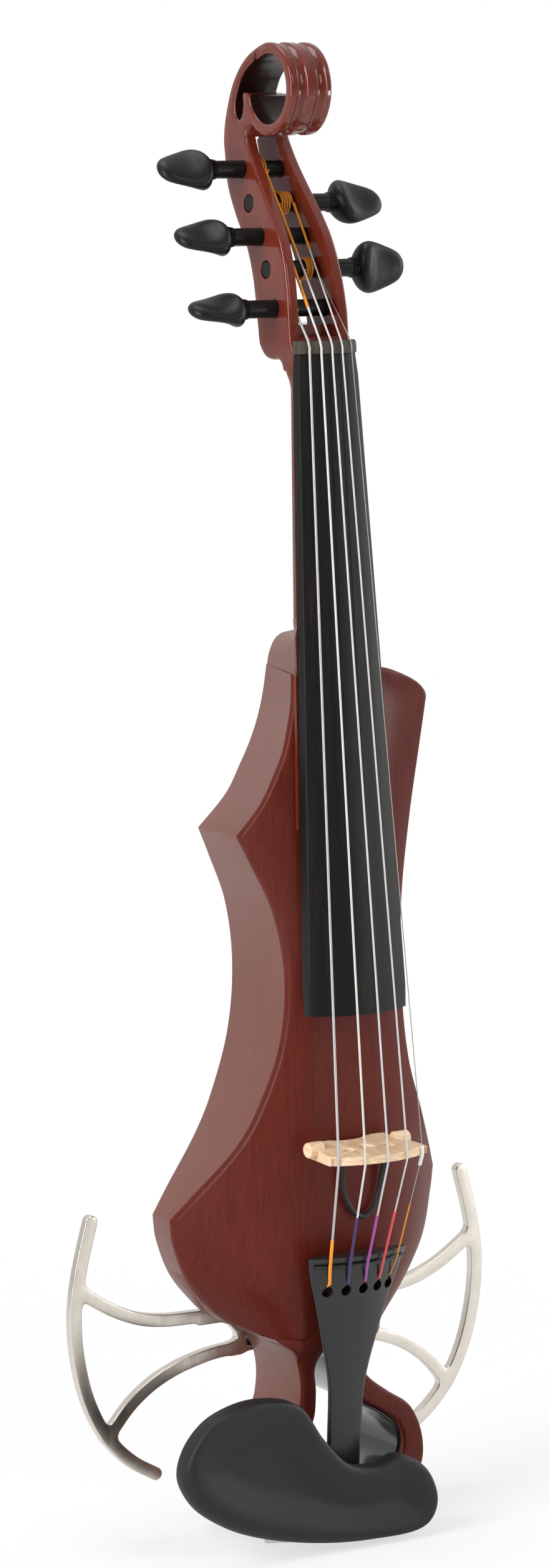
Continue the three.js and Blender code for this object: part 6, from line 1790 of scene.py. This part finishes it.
# The field of values around a frame: its left edge on either side, lowest height and size.
FIELD_LEFT = {-1: -108, 1: 4}
FIELD_LOW = -150
FIELD_SIZE = (106, 124)
FIELD_STEP = 0.55
SMALLEST_LOOP = 3


def frame_point(side, shares):
    x = side * FRAME_CENTRE_ACROSS - side * shares[0] * FRAME_RADIUS
    return (x, -FRAME_CENTRE_DOWN + shares[1] * FRAME_RADIUS)


def frame_loops(side):
    """The outlines of a side frame, its bars joined to its rim by soft corners."""
    step, low = FIELD_STEP, (FIELD_LEFT[side], FIELD_LOW)
    size = tuple(int(reach / step) for reach in FIELD_SIZE)
    grid = np.array([(low[0] + i * step, low[1] + j * step) for i, j in np.ndindex(size)])
    fields = []
    lines = ((UPPER_BAR_SHARES, FRAME_BAR), (LOWER_BAR_SHARES, FRAME_BAR), (RIM_SHARES, FRAME_RIM))
    for shares, width in lines:
        line = smooth_flat([frame_point(side, p) for p in shares], 8)
        fields.append(edge_distance(grid, [line], closed=False) - width / 2)
    root = [frame_point(side, p) for p in ROOT_SHARES]
    fields.append(edge_distance(grid, [root]) * np.where(inside(grid, [root]), -1, 1))
    whole = fields[0]
    for field in fields[1:]:
        near = np.maximum(FRAME_FILLET - np.abs(whole - field), 0) / FRAME_FILLET
        whole = np.minimum(whole, field) - near**2 * FRAME_FILLET / 4
    for share in FRAME_SCREW_SHARES:
        place = np.array(frame_point(side, share))
        whole = np.maximum(whole, SCREW_HEAD_RADIUS + GAP / 2 - np.hypot(*(grid - place).T))
    loops = contours(whole.reshape(size), low, step)
    return [loop for loop in loops if abs(area(loop)) > SMALLEST_LOOP]


def build_frames():
    back = GAP + FRAME_THICKNESS
    for side, word in ((-1, "left"), (1, "right")):
        loops = frame_loops(side)
        shape = sheet(loops, lambda *at: GAP, lambda *at: back, FRAME_EDGE, 4, seen_front)
        nodes = ["side_frame_" + word]
        piece(shape, "frame_" + word, ALUMINIUM, nodes, sharp=50)


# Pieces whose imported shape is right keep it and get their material.
CARRIED = [
    (CORK, "chin_rest_pad_left chin_rest_pad_right clamp_pad"),
    (STEEL, "clamp_upper_bracket clamp_lower_bracket clamp_barrel_left clamp_barrel_right"),
    (STEEL, "frame_screw_left_1 frame_screw_left_2 frame_screw_right_1 frame_screw_right_2"),
    (STEEL, "volume_control tone_control output_jack headphone_jack"),
    (COVER_BLACK, "volume_knob tone_knob cavity_cover battery_door"),
    (CIRCUIT, "preamp_board"),
    (BATTERY, "battery"),
]


def dress_carried():
    for look, names in CARRIED:
        for name in names.split():
            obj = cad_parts[name]
            if not obj.material_slots:
                obj.data.materials.append(look)
            for slot in obj.material_slots:
                slot.material = look


# Camera, floor and light

FLOOR_REACH = 12
FLOOR_WHITE = (0.9, 0.9, 0.9, 1)
SHADOW_EDGES = (0.15, 0.55)
NEAR_GLOW = 0.64
GLOSSY_GLOW = 0.25
# The studio behind the object is white and the room in front of it is dim.
STUDIO_DIRECTION = (0.45, 0.72, 0.53)
STUDIO_EDGES = (-0.4, 0.55)
STUDIO_GLOSS = 0.85
DIM_GLOSS = 0.1
AMBIENT = 0.36
AMBIENT_TONE = (0.95, 0.97, 1, 1)
# Softboxes: place, width and height in metres, and watts; all face LIGHT_TARGET.
LIGHT_TARGET = (0, 0, 0.14)
SOFTBOXES = {
    "left_box": ((-1.6, -0.4, 0.75), 0.7, 1.4, 30),
    "front_box": ((0.3, -2.4, 1.5), 1.2, 1.0, 14),
    "low_right_box": ((1.5, -1.7, 0.1), 0.35, 0.35, 8),
    "right_box": ((1.8, -0.4, 0.7), 0.6, 1.4, 14),
    "top_box": ((-0.2, 0.4, 2.2), 1.2, 1.2, 16),
}


def place_camera():
    data = bpy.data.cameras.new("camera")
    data.sensor_fit, data.sensor_height = "VERTICAL", CAMERA_SENSOR
    data.lens, data.clip_end = CAMERA_LENS, CAMERA_FAR
    data.shift_x, data.shift_y = CAMERA_SHIFT_ACROSS, CAMERA_SHIFT_UP
    camera = linked("camera", data)
    turn = Matrix((CAMERA_RIGHT, CAMERA_UP, CAMERA_BACK)).transposed().to_4x4()
    camera.matrix_world = Matrix.Translation(CAMERA_PLACE) @ turn
    bpy.context.scene.camera = camera


def place_floor():
    """A pale floor that keeps the object's shadow and turns white away from it."""
    reach, low = FLOOR_REACH, cad_low.z
    ends = ((-reach, -reach), (reach, -reach), (reach, reach), (-reach, reach))
    corners = [(x, y, low) for x, y in ends]
    mesh = bpy.data.meshes.new("floor")
    mesh.from_pydata(corners, [], [(0, 1, 2, 3)])
    floor = linked("floor", mesh)
    look = Look("floor_white", FLOOR_WHITE, roughness=0.9, gloss=0)
    where = {0: look.add("TexCoord", {}, "Object")}
    away = look.add("VectorMath", where, "Value", operation="LENGTH")
    far = look.soft_step(away, SHADOW_EDGES, (NEAR_GLOW, 1))
    seen = look.math("MULTIPLY", look.is_ray("Camera"), far)
    glossy = look.math("MULTIPLY", look.is_ray("Glossy"), GLOSSY_GLOW)
    factor = look.math("ADD", seen, glossy)
    surface = look.blend(factor, look.shader.outputs[0], look.add("Emission", {}))
    look.fill(look.tree.nodes["Material Output"], {"Surface": surface})
    mesh.materials.append(look.material)


def place_world():
    world = bpy.data.worlds.new("studio")
    bpy.context.scene.world = world
    world.use_nodes = True
    world.node_tree.nodes.clear()
    sky = Nodes(world.node_tree)
    white = (1, 1, 1, 1)
    where = {0: sky.add("TexCoord", {}, "Generated"), 1: STUDIO_DIRECTION}
    toward = sky.add("VectorMath", where, "Value", operation="DOT_PRODUCT")
    backdrop = sky.soft_step(toward, STUDIO_EDGES, (DIM_GLOSS, STUDIO_GLOSS))
    plain = sky.add("Background", {"Color": AMBIENT_TONE, "Strength": AMBIENT})
    glossy = sky.add("Background", {"Color": white, "Strength": backdrop})
    bright = sky.add("Background", {"Color": white, "Strength": 1.0})
    surface = sky.blend(sky.is_ray("Glossy"), plain, glossy)
    surface = sky.blend(sky.is_ray("Camera", "Transmission"), surface, bright)
    sky.fill(sky.tree.nodes.new("ShaderNodeOutputWorld"), {"Surface": surface})


def place_lights():
    for name, (place, width, height, watts) in SOFTBOXES.items():
        data = bpy.data.lights.new(name, "AREA")
        data.shape, data.size, data.size_y, data.energy = "RECTANGLE", width, height, watts
        lamp = linked(name, data)
        lamp.location = place
        toward = Vector(LIGHT_TARGET) - Vector(place)
        lamp.rotation_euler = toward.to_track_quat("-Z", "Y").to_euler()
    bpy.context.scene.view_settings.view_transform = "Standard"


place_camera()
place_floor()
place_world()
place_lights()
build_body()
build_neck()
build_board()
build_nut()
build_pegs()
build_strings()
build_bridge()
build_lead()
build_sleeve()
build_tailpiece()
build_tail_end()
build_chin_rest()
build_frames()
dress_carried()
